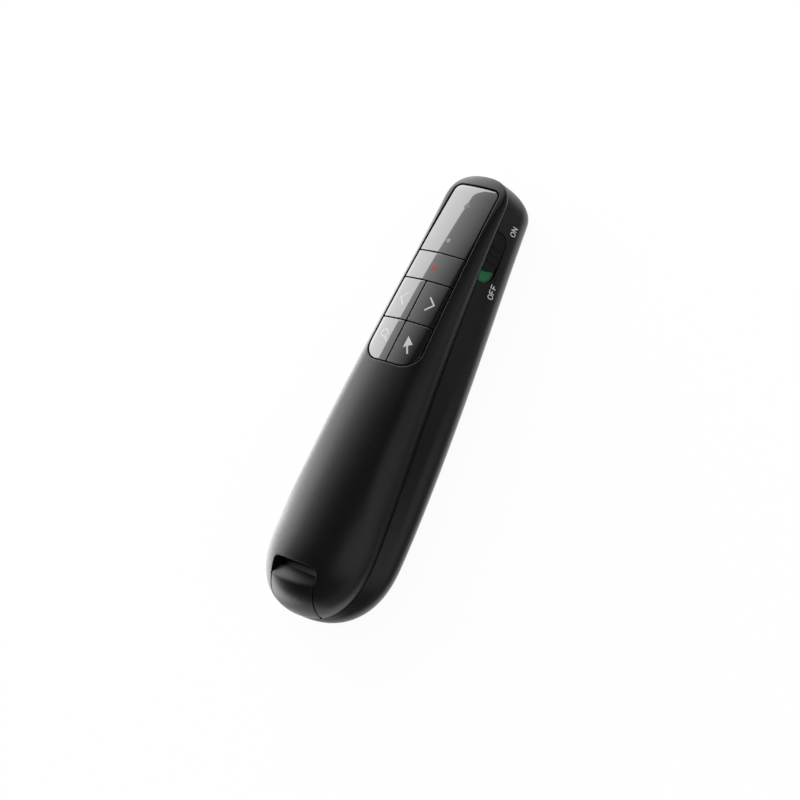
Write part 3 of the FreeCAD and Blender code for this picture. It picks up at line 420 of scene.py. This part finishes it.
def wellGrid(sign, loop, under, bend):
    # the well's side: a rounded edge, then a wall down to the inner sheet
    inward = -outwardOf(loop[:, :2] * (sign, 1), closed=False) * (sign, 1)
    rounded = edgeRows(loop, inward, np.full(len(loop), upper["edge"]), bend)
    foot = rounded[-1:].copy()
    foot[..., 2] = loop[:, 2] - upper["wellDepth"]
    return gridFaces(np.vstack([rounded, foot, under[None]]))


def rimGrids(sign, loop, under, notchCount, bend):
    # the notch and the rim: a rounded edge that fades out at the rim, the wall, a small bevel
    # and the ledge
    outward = outwardOf(loop[:, :2] * (sign, 1), closed=False) * (sign, 1)
    fade = np.clip((notchCount - 1 - np.arange(len(loop))) / upper["fadeColumns"], 0, 1)
    rounded = edgeRows(loop, outward, fade * upper["edge"], bend)
    base = sectionAt(loop[:, 1])["base"]
    plan, foot = rounded[-1, :, :2], rounded[-1, :, 2]
    bevel = np.minimum(form["seamBevel"], (foot - base) * upper["bevelShare"])
    turn = np.linspace(0, pi / 2, upper["bevelRows"])
    lower = plan - outward * bevel[:, None] * (1 - np.cos(turn))[:, None, None]
    wall = np.dstack([lower, base + bevel * (1 - np.sin(turn))[:, None]])
    ledge = np.column_stack([under[:, :2], base])[None]
    # rows at the socket's top and foot, on the wall and behind it; no faces between them
    levels = np.array([upper["socketTop"], upper["socketFoot"]])[:, None]
    front = np.repeat(rounded[-1:], 2, axis=0)
    front[..., 2] = np.clip(levels, base + bevel, np.maximum(foot, base + bevel))
    behind = np.repeat(ledge, 2, axis=0)
    behind[..., 2] = np.clip(levels[::-1], base, np.maximum(under[:, 2], base))
    sheet = np.vstack([rounded, front, wall, ledge, behind, under[None]])
    points, faces = gridFaces(sheet)
    faces = faces.reshape(len(sheet) - 1, -1, 4)
    span = np.count_nonzero(np.abs(loop[:upper["backColumns"], 0]) <= upper["socketHalf"]) - 1
    frontTop, frontFoot = len(bend), len(bend) + 1
    behindFoot, behindTop = len(sheet) - 3, len(sheet) - 2
    kept = np.ones(faces.shape[:2], bool)
    kept[[frontTop, behindFoot], :span] = False
    side = sheet[[frontTop, frontFoot, behindTop, behindFoot], span].reshape(2, 2, 3)
    return [(points, faces[kept]), gridFaces(sheet[[frontTop, behindTop], :span + 1]),
            gridFaces(sheet[[frontFoot, behindFoot], :span + 1]), gridFaces(side)]


def makeUpperShell():
    # both halves: their sheets, the well's side, and the notch and rim
    grids = []
    bend = np.linspace(0, pi / 2, upper["bendRows"])
    for sign in (1, -1):
        sheets, well, rim = halfShell(sign)
        grids += [gridFaces(sheet) for sheet in sheets]
        grids += [wellGrid(sign, *well, bend), *rimGrids(sign, *rim, bend)]
    makePiece("upperShell", grids, "housing", ["top_shell"])


makeUpperShell()
print("upper shell made")


# Receiver grip: the same crown, cut back by a sloping round ramp

grip = {
    "half": 7.25, "length": 10.9, "edge": 0.22, "fadeLength": 2.0, "floorGap": 0.3,
    "rampPlace": 6.8, "rampTurn": 20.0, "rampRadius": 26.0, "soften": 0.35,
    "columns": 60, "rows": 56, "bendRows": 6,
}


def rampHeight(x, y):
    # a lying cylinder that starts from the crown at rampPlace and falls towards the head at
    # rampTurn degrees
    turn = grip["rampTurn"] * pi / 180
    start = crownHeight(np.zeros(1), np.array([grip["rampPlace"]]))[0]
    sag = grip["rampRadius"] - np.sqrt(grip["rampRadius"] ** 2 - np.square(x))
    return start - (y - grip["rampPlace"]) * np.tan(turn) - sag / np.cos(turn)


def gripHeight(x, y):
    # smooth minimum of crown and ramp: their mean, less half the root of the squared
    # difference and the squared softening
    crown, ramp = crownHeight(x, y), rampHeight(x, y)
    return (crown + ramp) / 2 - np.sqrt(np.square(crown - ramp) + grip["soften"] ** 2) / 2


def borderOf(sheet):
    # the sheet's border as one loop
    return np.vstack([sheet[0], sheet[1:, -1], sheet[-1, ::-1][1:], sheet[::-1, 0][1:-1]])


def makeGrip():
    # rows from the rim at the tail tip to the grip's head end, closer together near the tip,
    # laid on gripHeight; then a rounded edge, the walls and the floor
    edge = grip["edge"]
    across = np.sin(np.linspace(-1, 1, grip["columns"]) * pi / 2) * (grip["half"] - edge)
    tip = tipPlace(across)
    share = (np.linspace(0, 1, grip["rows"]) ** 2)[:, None]
    y = between(tip, grip["length"] - edge, share)
    x = np.broadcast_to(across, y.shape)
    floor = np.dstack([x, y, sectionAt(y)["seam"] + grip["floorGap"]])
    top = floor.copy()
    top[..., 2] = np.maximum(gripHeight(x, y), floor[..., 2])
    loop, under = borderOf(top), borderOf(floor)
    fade = np.clip((loop[:, 1] - tipPlace(loop[:, 0])) / grip["fadeLength"], 0, 1) * edge
    bend = np.linspace(0, pi / 2, grip["bendRows"])
    rounded = edgeRows(loop, outwardOf(loop[:, :2]), fade, bend)
    foot = rounded[-1:].copy()
    foot[..., 2] = under[:, 2]
    side = gridFaces(np.vstack([rounded, foot, under[None]]), wrapped=True)
    grids = [gridFaces(top), gridFaces(floor), side]
    makePiece("receiverGrip", grids, "receiver", ["receiver_cap"])


makeGrip()
print("receiver grip made")


# Printed signs: thin prints on the keys, and the switch's lettering on the flank

prints = {
    "lift": 0.02, "sink": 0.08, "spacing": 0.2, "columns": 5, "rings": 6, "leastMitre": 0.3,
    "line": 0.34, "boldLine": 0.44, "shaftLine": 0.5,
    "forward": [(3.7, 97.5), (5.85, 95.4), (3.8, 93.2)],
    "back": [(-3.7, 97.5), (-5.85, 95.4), (-3.8, 93.2)],
    "arrow": [(3.1, 84.3), (3.05, 80.5), (4.0, 81.35), (5.45, 82.15)],
    "arrowMiddle": (3.65, 81.9), "arrowShaft": [(4.0, 81.5), (5.15, 79.1)],
    "lensMiddle": (-5.0, 83.4), "lensRadius": 1.15, "lensSteps": 40,
    "lensHandle": [(-4.25, 82.45), (-3.1, 81.0)],
    "burstMiddle": (0.1, 106.7), "burstOuter": 1.45, "burstInner": 0.62, "burstRays": 8,
    "beam": [(-1.1, 127.9), (1.1, 127.9), (0, 130.4)], "beamMiddle": (0, 128.7),
    "letterLine": 0.24, "letterHeight": 1.65, "letterPitch": 1.58, "bowlSteps": 28,
    "letterWidth": 0.62,  # a share of the height
    "bowlWidth": 0.58, "barEnd": 0.35,  # shares of the width
    "onPlace": (126.9, 5.2), "onLift": 0.14, "offPlace": (107.4, 5.5), "offLift": 0.03,
}


def onFlank(points, lift):
    # lays points (y, distance down from the seam) on the +X flank, raised along its own normal
    x, z, normalX, normalZ = flankPoint(points[..., 0], points[..., 1])
    return np.dstack([x + normalX * lift, points[..., 0], z + normalZ * lift])


def divided(first, last, least, endpoint=True):
    # a straight run of at least so many points, about a spacing apart
    count = max(int(np.linalg.norm(last - first) / prints["spacing"]), least)
    return np.linspace(first, last, count, endpoint=endpoint)


def stroke(points, width, lay, closed=False):
    # a pen line: offsets square to the path, mitred at its bends, laid on a surface, with a
    # hidden underside
    points = np.asarray(points, float)
    if closed:
        before, after = np.roll(points, 1, axis=0), np.roll(points, -1, axis=0)
    else:
        runs = [divided(a, b, 2) for a, b in zip(points[:-1], points[1:])]
        points = np.vstack([runs[0], *[run[1:] for run in runs[1:]]])
        before = np.vstack([points[:1] * 2 - points[1:2], points[:-1]])
        after = np.vstack([points[1:], points[-1:] * 2 - points[-2:-1]])
    first, second = unit(points - before), unit(after - points)
    normal = unit(np.column_stack([-(first + second)[:, 1], (first + second)[:, 0]]))
    square = np.column_stack([-first[:, 1], first[:, 0]])
    mitre = np.maximum(np.sum(normal * square, axis=1, keepdims=True), prints["leastMitre"])
    offsets = np.linspace(-0.5, 0.5, prints["columns"])[:, None] * width
    flat = points[:, None] + (normal / mitre)[:, None] * offsets
    ring = np.concatenate([lay(flat, prints["lift"]), lay(flat[:, ::-1], -prints["sink"])], axis=1)
    if closed:
        return gridFaces(np.vstack([ring, ring[:1]]), wrapped=True)
    ends = np.repeat(ring.mean(axis=1, keepdims=True), ring.shape[1], axis=1)
    return gridFaces(np.vstack([ends[:1], ring, ends[-1:]]), wrapped=True)


def patch(outline, middle, lay):
    # a filled shape: rings from its middle to its outline, then the hidden underside back to
    # the middle
    outline, middle = np.asarray(outline, float), np.asarray(middle, float)
    pairs = zip(outline, np.roll(outline, -1, axis=0))
    border = np.vstack([divided(a, b, 1, endpoint=False) for a, b in pairs])
    flat = between(middle, border, np.linspace(0, 1, prints["rings"])[:, None, None])
    sheets = [lay(flat, prints["lift"]), lay(flat[::-1], -prints["sink"])]
    return gridFaces(np.vstack(sheets), wrapped=True)


def letterStrokes(letter, place, height):
    # strokes of one capital: it reads along y towards the head, with its top towards the seam
    wide, half = height * prints["letterWidth"], height / 2
    if letter == "O":
        angles = np.linspace(0, 2 * pi, prints["bowlSteps"], endpoint=False)
        shapes = [(ringPoints(0, (wide * prints["bowlWidth"], half), angles), True)]
    elif letter == "N":
        shapes = [([(-wide / 2, -half), (-wide / 2, half), (wide / 2, -half), (wide / 2, half)],
                   False)]
    else:
        shapes = [([(-wide / 2, -half), (-wide / 2, half), (wide / 2, half)], False),
                  ([(-wide / 2, 0), (wide * prints["barEnd"], 0)], False)]
    return [(np.asarray(points) * (1, -1) + place, closed) for points, closed in shapes]


def makeWord(name, word, place, rise):
    # letters side by side along the flank, raised to clear the shell there
    def onShell(points, lift):
        # onFlank, higher by the rise
        return onFlank(points, lift + rise)

    grids = []
    for step, letter in enumerate(word):
        along = place[0] + (step - (len(word) - 1) / 2) * prints["letterPitch"]
        for points, closed in letterStrokes(letter, (along, place[1]), prints["letterHeight"]):
            grids.append(stroke(points, prints["letterLine"], onShell, closed))
    makePiece(name, grids, "housing", [])


def makeSign(name, body, *grids):
    # a print on one key or on the window
    makePiece(name, list(grids), body, [])


def makePrints():
    # two chevrons, an arrow, a magnifier, a burst and a small wedge; then ON and OFF
    line, bold = prints["line"], prints["boldLine"]
    makeSign("forwardSign", "forward_button_body", stroke(prints["forward"], bold, onField))
    makeSign("backSign", "back_button_body", stroke(prints["back"], line, onField))
    makeSign("pointerSign", "pointer_button_body",
             patch(prints["arrow"], prints["arrowMiddle"], onField),
             stroke(prints["arrowShaft"], prints["shaftLine"], onField))
    angles = np.linspace(0, 2 * pi, prints["lensSteps"], endpoint=False)
    lens = ringPoints(prints["lensMiddle"], prints["lensRadius"], angles)
    makeSign("zoomSign", "zoom_button_body", stroke(lens, line, onField, closed=True),
             stroke(prints["lensHandle"], bold, onField))
    angles = np.linspace(0, 2 * pi, 2 * prints["burstRays"], endpoint=False)
    reach = np.tile([[prints["burstOuter"]], [prints["burstInner"]]], (prints["burstRays"], 1))
    burst = ringPoints(prints["burstMiddle"], reach, angles)
    makeSign("laserSign", "laser_button_body", patch(burst, prints["burstMiddle"], onField))
    makeSign("beamSign", "housing", patch(prints["beam"], prints["beamMiddle"], onField))
    makeWord("onSign", "ON", prints["onPlace"], prints["onLift"])
    makeWord("offSign", "OFF", prints["offPlace"], prints["offLift"])


makePrints()
print("signs made")


# Finishes

surface = {
    "noiseSpan": (0.3, 0.7),  # where nearly all of a noise lies
    "driftScale": 60, "driftDetail": 3,  # the slow drift in colour
    "glossShare": 0.4,  # how coarse the patches of gloss are, by the grain
}

sleeve = {
    "plain": (0.03, 0.03, 0.032), "dark": (0.02, 0.02, 0.022), "copper": (0.62, 0.28, 0.11),
    "bandEdge": (-0.0085, -0.0080),  # along Y, in metres, from dark to copper
    "rough": 0.3, "coat": 0.5, "grain": 900, "depth": 3e-6,
}


def material(name, colour, rough, metal=0.0, **more):
    # a Principled shader with its plain values on its own sockets
    made = bpy.data.materials.new(name)
    made.use_nodes = True
    shader = made.node_tree.nodes["Principled BSDF"]
    shader.inputs["Base Color"].default_value = (*colour, 1)
    shader.inputs["Roughness"].default_value = rough
    shader.inputs["Metallic"].default_value = metal
    for socket, value in more.items():
        shader.inputs[socket.replace("_", " ")].default_value = value
    return made


def pattern(tree, scale, detail=2.0):
    # noise on Object coordinates; the scale is in repeats to the metre
    place, noise = tree.nodes.new("ShaderNodeTexCoord"), tree.nodes.new("ShaderNodeTexNoise")
    noise.inputs["Scale"].default_value, noise.inputs["Detail"].default_value = scale, detail
    tree.links.new(place.outputs["Object"], noise.inputs["Vector"])
    return noise.outputs["Fac"]


def placeAlong(tree, axis):
    # one of the Object coordinates
    place, split = tree.nodes.new("ShaderNodeTexCoord"), tree.nodes.new("ShaderNodeSeparateXYZ")
    tree.links.new(place.outputs["Object"], split.inputs["Vector"])
    return split.outputs[axis]


def spanned(tree, value, span, levels):
    # maps the value from a span onto levels, held at both ends
    node = tree.nodes.new("ShaderNodeMapRange")
    for socket, number in zip(("From Min", "From Max", "To Min", "To Max"), (*span, *levels)):
        node.inputs[socket].default_value = number
    tree.links.new(value, node.inputs["Value"])
    return node.outputs["Result"]


def blended(tree, value, dark, light):
    # dark where the value is 0 and light where it is 1
    node = tree.nodes.new("ShaderNodeMix")
    node.data_type = "RGBA"
    first, second = [socket for socket in node.inputs if socket.type == "RGBA"][:2]
    first.default_value, second.default_value = (*dark, 1), (*light, 1)
    tree.links.new(value, node.inputs[0])
    return [socket for socket in node.outputs if socket.type == "RGBA"][0]


def linked(tree, value, socket):
    # feeds one socket of the Principled shader
    tree.links.new(value, tree.nodes["Principled BSDF"].inputs[socket])


def bumped(tree, value, distance):
    # relief of that depth, in metres
    node = tree.nodes.new("ShaderNodeBump")
    node.inputs["Distance"].default_value = distance
    tree.links.new(value, node.inputs["Height"])
    linked(tree, node.outputs["Normal"], "Normal")


def grained(name, dark, light, rough, grain, depth, metal=0.0, **more):
    # moulded plastic or metal: fine grain in the relief, a slow drift in colour and gloss
    made = material(name, light, sum(rough) / 2, metal, **more)
    tree, span = made.node_tree, surface["noiseSpan"]
    drift = pattern(tree, surface["driftScale"], surface["driftDetail"])
    linked(tree, blended(tree, spanned(tree, drift, span, (0, 1)), dark, light), "Base Color")
    gloss = pattern(tree, grain * surface["glossShare"])
    linked(tree, spanned(tree, gloss, span, rough), "Roughness")
    bumped(tree, pattern(tree, grain), depth)
    return made


def cellSleeve():
    # a plain printed sleeve: dark, with a copper band at one end, by the place along Y
    made = material("cellSleeve", sleeve["plain"], sleeve["rough"], Coat_Weight=sleeve["coat"])
    tree = made.node_tree
    step = spanned(tree, placeAlong(tree, "Y"), sleeve["bandEdge"], (0, 1))
    linked(tree, blended(tree, step, sleeve["dark"], sleeve["copper"]), "Base Color")
    bumped(tree, pattern(tree, sleeve["grain"]), sleeve["depth"])
    return made


def makeFinishes():
    # each has its two colours, its span of roughness, its grain to the metre and its relief
    return {
        "housing": grained(
            "satinBlack", (0.0065, 0.0065, 0.007), (0.0085, 0.0085, 0.009), (0.34, 0.40),
            2600, 5e-6, Specular_IOR_Level=0.375),
        "panel": grained(
            "glossBlack", (0.006, 0.006, 0.0065), (0.008, 0.008, 0.0085), (0.035, 0.06),
            90, 2e-6, Specular_IOR_Level=1.0, Coat_Weight=1.0, Coat_Roughness=0.03),
        "slider": grained(
            "sliderBlack", (0.004, 0.004, 0.0042), (0.006, 0.006, 0.0063), (0.46, 0.54),
            2600, 5e-6, Specular_IOR_Level=0.3),
        "whitePrint": grained(
            "whitePrint", (0.8, 0.8, 0.8), (0.88, 0.88, 0.88), (0.32, 0.38), 3000, 2e-6),
        "greyPrint": grained(
            "greyPrint", (0.15, 0.15, 0.155), (0.2, 0.2, 0.205), (0.4, 0.5), 3000, 2e-6),
        "redPrint": grained(
            "redPrint", (0.3, 0.02, 0.03), (0.42, 0.04, 0.05), (0.35, 0.45), 3000, 2e-6),
        "inner": grained(
            "innerPlastic", (0.02, 0.02, 0.021), (0.035, 0.035, 0.036), (0.5, 0.62), 1800, 8e-6),
        "guide": grained(
            "frostedGuide", (0.26, 0.26, 0.265), (0.34, 0.34, 0.345), (0.25, 0.35), 1500, 3e-6,
            Coat_Weight=0.5),
        "green": grained(
            "greenMark", (0.0, 0.16, 0.05), (0.004, 0.23, 0.08), (0.35, 0.45), 2400, 3e-6),
        "steel": grained(
            "stampedSteel", (0.50, 0.50, 0.51), (0.62, 0.62, 0.63), (0.22, 0.36), 1400, 3e-6, 1.0),
        # steel made darker as painted shade: the plug sits in the shade of the notch
        "shadedSteel": grained(
            "shadeDarkenedSteel", (0.05, 0.05, 0.052), (0.07, 0.07, 0.072), (0.3, 0.42), 1400, 3e-6, 1.0),
        "gold": grained(
            "goldContact", (0.78, 0.52, 0.18), (0.9, 0.64, 0.26), (0.18, 0.3), 1600, 2e-6, 1.0),
        "brass": grained(
            "turnedBrass", (0.55, 0.37, 0.12), (0.72, 0.52, 0.2), (0.2, 0.34), 1500, 4e-6, 1.0),
        "white": grained(
            "whitePlastic", (0.72, 0.72, 0.7), (0.8, 0.8, 0.78), (0.4, 0.5), 1500, 5e-6),
        "board": grained(
            "solderMask", (0.005, 0.09, 0.035), (0.01, 0.15, 0.06), (0.3, 0.42), 700, 8e-6),
        "chip": grained(
            "chipResin", (0.012, 0.012, 0.012), (0.025, 0.025, 0.025), (0.5, 0.62), 2500, 6e-6),
        "lamp": grained(
            "lampResin", (0.75, 0.74, 0.6), (0.85, 0.84, 0.7), (0.2, 0.3), 1500, 2e-6),
        "lens": grained(
            "darkRedLens", (0.05, 0.004, 0.006), (0.09, 0.006, 0.01), (0.03, 0.06), 200, 1e-6,
            Coat_Weight=1.0),
        "cell": cellSleeve(),
    }


finishOf = {
    "housing": ["upperShell", "receiverGrip", "top_shell", "bottom_shell", "receiver_cap",
                "battery_cover"],
    "panel": ["laserKey", "backKey", "forwardKey", "zoomKey", "pointerKey", "headWindow",
              "laser_button", "back_button", "forward_button", "zoom_button", "pointer_button",
              "front_window"],
    "slider": ["power_slider"], "green": ["colour_mark"], "guide": ["indicator_light_guide"],
    "whitePrint": ["forwardSign", "pointerSign", "backSign", "zoomSign", "onSign", "offSign"],
    "greyPrint": ["beamSign"], "redPrint": ["laserSign"],
    "inner": ["button_frame", "switch_lever", "switch_backing", "receiver_dock"],
    "board": ["main_board", "receiver_board"], "chip": ["controller_chip", "radio_chip"],
    "lamp": ["indicator_led"], "lens": ["nose_lens"], "brass": ["laser_module"],
    "cell": ["battery_cell"], "gold": ["plug_contacts"], "white": ["plug_tongue"],
    # the plug's steel is darkened as painted shade for the notch it sits in
    "shadedSteel": ["plug_shell"],
    "steel": ["tact_switch_laser", "tact_switch_back", "tact_switch_forward", "tact_switch_zoom",
              "tact_switch_pointer", "slide_switch", "crystal", "plate_contact",
              "spring_contact", "housing_screws"],
}


def paint():
    # every piece and node gets its finish
    finishes = makeFinishes()
    for finish, names in finishOf.items():
        for name in names:
            mesh = bpy.data.objects[name].data
            mesh.materials.clear()
            mesh.materials.append(finishes[finish])


paint()
print("finishes set")


# Studio

studio = {
    "cameraPlace": (0.28618297, -0.10214500, 0.44681591),
    "right": (0.80769949, 0.39818386, -0.43482313),
    "down": (0.24525784, -0.89756781, -0.36636133),
    "forward": (-0.53616241, 0.18926608, -0.82262277),
    "lens": 82.43, "sensor": 36, "clipStart": 0.01,
    "floorHalf": 1.2, "floorDrop": 0.0001, "floorColour": (0.8, 0.8, 0.8),
    "floorOwnLight": 0.9, "floorSeen": 1.05,
    "floorMirrored": [(-0.25, 4.7), (-0.05, 4.7), (-0.02, 1.0), (0.022, 1.9), (0.028, 0.13),
                      (0.06, 0.35), (0.15, 0.75), (0.3, 1.1)],  # place along X, brightness
    "ambient": 0.4, "backdrop": 1.0,
    "glowToward": (-0.857, 0.515, 0.0), "glowSpan": (0.22, 0.75), "glow": (0.035, 1.4),
    "lamps": [  # name, place, target, roll in degrees, size, power
        ("leftBox", (-0.805, 0.484, 0.357), (0, 0, 0.015), -4.5, (1.8, 0.74), 10.7),
        ("rightBox", (0.9, 0.0, 0.40), (0, 0, 0.015), 0, (0.6, 0.75), 1.3),
    ],
}


def makeCamera():
    # the camera's columns are right, up and back
    camera = bpy.data.objects.new("camera", bpy.data.cameras.new("camera"))
    bpy.context.scene.collection.objects.link(camera)
    right, down, forward = (Vector(studio[key]) for key in ("right", "down", "forward"))
    turn = Matrix((right, -down, -forward)).transposed().to_4x4()
    camera.matrix_world = Matrix.Translation(studio["cameraPlace"]) @ turn
    camera.data.lens, camera.data.sensor_width = studio["lens"], studio["sensor"]
    camera.data.clip_start = studio["clipStart"]
    bpy.context.scene.camera = camera
    bpy.context.scene.view_settings.view_transform = "Standard"


def feed(tree, value, socket):
    # a number is set on the socket, and an output is linked to it
    if isinstance(value, (int, float)):
        socket.default_value = value
    else:
        tree.links.new(value, socket)


def chosen(tree, factor, off, on):
    # off where the factor is 0 and on where it is 1; each is a number or an output
    node = tree.nodes.new("ShaderNodeMix")
    tree.links.new(factor, node.inputs["Factor"])
    feed(tree, off, node.inputs["A"])
    feed(tree, on, node.inputs["B"])
    return node.outputs["Result"]


def worked(tree, operation, first, second):
    # a sum on two values, each a number or an output
    node = tree.nodes.new("ShaderNodeMath")
    node.operation = operation
    feed(tree, first, node.inputs[0])
    feed(tree, second, node.inputs[1])
    return node.outputs[0]


def mixed(tree, factor, off, on):
    # the shader off where the factor is 0 and on where it is 1
    node = tree.nodes.new("ShaderNodeMixShader")
    for value, socket in zip((factor, off.outputs[0], on.outputs[0]), node.inputs):
        tree.links.new(value, socket)
    return node


def mirroredLevel(tree):
    # brightness of the mirrored floor, straight between its stops along X
    places, levels = zip(*studio["floorMirrored"])
    ends, brightest = (places[0], places[-1]), max(levels)
    ramp = tree.nodes.new("ShaderNodeValToRGB")
    stops = ramp.color_ramp.elements
    for place, level in zip(places, levels):
        share = (place - ends[0]) / (ends[1] - ends[0])
        stop = stops[0] if share == 0 else stops[-1] if share == 1 else stops.new(share)
        stop.color = (*[level / brightest] * 3, 1)
    tree.links.new(spanned(tree, placeAlong(tree, "X"), ends, (0, 1)), ramp.inputs["Fac"])
    return spanned(tree, ramp.outputs["Color"], (0, 1), (0, brightest))


def floorPaint():
    # pale paint that keeps the shadow, mixed with white where it is looked at; mirrored, it is
    # brighter on the left; it is clear from below, so that the underside shows
    made = bpy.data.materials.new("floorPaint")
    made.use_nodes = True
    tree = made.node_tree
    tree.nodes.clear()
    path, side = tree.nodes.new("ShaderNodeLightPath"), tree.nodes.new("ShaderNodeNewGeometry")
    plain, glow = tree.nodes.new("ShaderNodeBsdfDiffuse"), tree.nodes.new("ShaderNodeEmission")
    plain.inputs["Color"].default_value = (*studio["floorColour"], 1)
    glossy = path.outputs["Is Glossy Ray"]
    strength = chosen(tree, glossy, studio["floorSeen"], mirroredLevel(tree))
    tree.links.new(strength, glow.inputs["Strength"])
    seen = worked(tree, "MAXIMUM", path.outputs["Is Camera Ray"], glossy)
    seen = worked(tree, "MAXIMUM", seen, path.outputs["Is Transmission Ray"])
    above = mixed(tree, worked(tree, "MULTIPLY", seen, studio["floorOwnLight"]), plain, glow)
    clear = tree.nodes.new("ShaderNodeBsdfTransparent")
    end = tree.nodes.new("ShaderNodeOutputMaterial")
    oneSided = mixed(tree, side.outputs["Backfacing"], above, clear)
    tree.links.new(oneSided.outputs[0], end.inputs["Surface"])
    return made


def makeFloor():
    # one square, a hair under the object
    half, low = studio["floorHalf"], -studio["floorDrop"]
    corners = [(-half, -half, low), (half, -half, low), (half, half, low), (-half, half, low)]
    mesh = bpy.data.meshes.new("floor")
    mesh.from_pydata(corners, [], [(0, 1, 2, 3)])
    floor = bpy.data.objects.new("floor", mesh)
    bpy.context.scene.collection.objects.link(floor)
    floor.data.materials.append(floorPaint())


def makeWorld():
    # mirrored, it glows towards the left box and is dark elsewhere; it is white behind the
    # object and dim for the rest
    world = bpy.data.worlds.new("studio")
    bpy.context.scene.world = world
    world.use_nodes = True
    tree = world.node_tree
    place, path = tree.nodes.new("ShaderNodeTexCoord"), tree.nodes.new("ShaderNodeLightPath")
    toward = tree.nodes.new("ShaderNodeVectorMath")
    toward.operation = "DOT_PRODUCT"
    toward.inputs[1].default_value = studio["glowToward"]
    tree.links.new(place.outputs["Generated"], toward.inputs[0])
    glow = spanned(tree, toward.outputs["Value"], studio["glowSpan"], studio["glow"])
    unseen = chosen(tree, path.outputs["Is Glossy Ray"], studio["ambient"], glow)
    level = chosen(tree, path.outputs["Is Camera Ray"], unseen, studio["backdrop"])
    tree.links.new(level, tree.nodes["Background"].inputs["Strength"])
    tree.nodes["Background"].inputs["Color"].default_value = (1, 1, 1, 1)


def makeLamps():
    # rectangular softboxes, each turned to face its target, then rolled about that line
    for name, place, target, roll, size, power in studio["lamps"]:
        light = bpy.data.lights.new(name, "AREA")
        light.shape, light.energy = "RECTANGLE", power
        light.size, light.size_y = size
        box = bpy.data.objects.new(name, light)
        bpy.context.scene.collection.objects.link(box)
        box.location = place
        facing = (Vector(target) - Vector(place)).to_track_quat("-Z", "Y").to_matrix()
        box.rotation_euler = (facing @ Matrix.Rotation(roll * pi / 180, 3, "Z")).to_euler()


makeCamera()
makeFloor()
makeWorld()
makeLamps()
print("studio set")
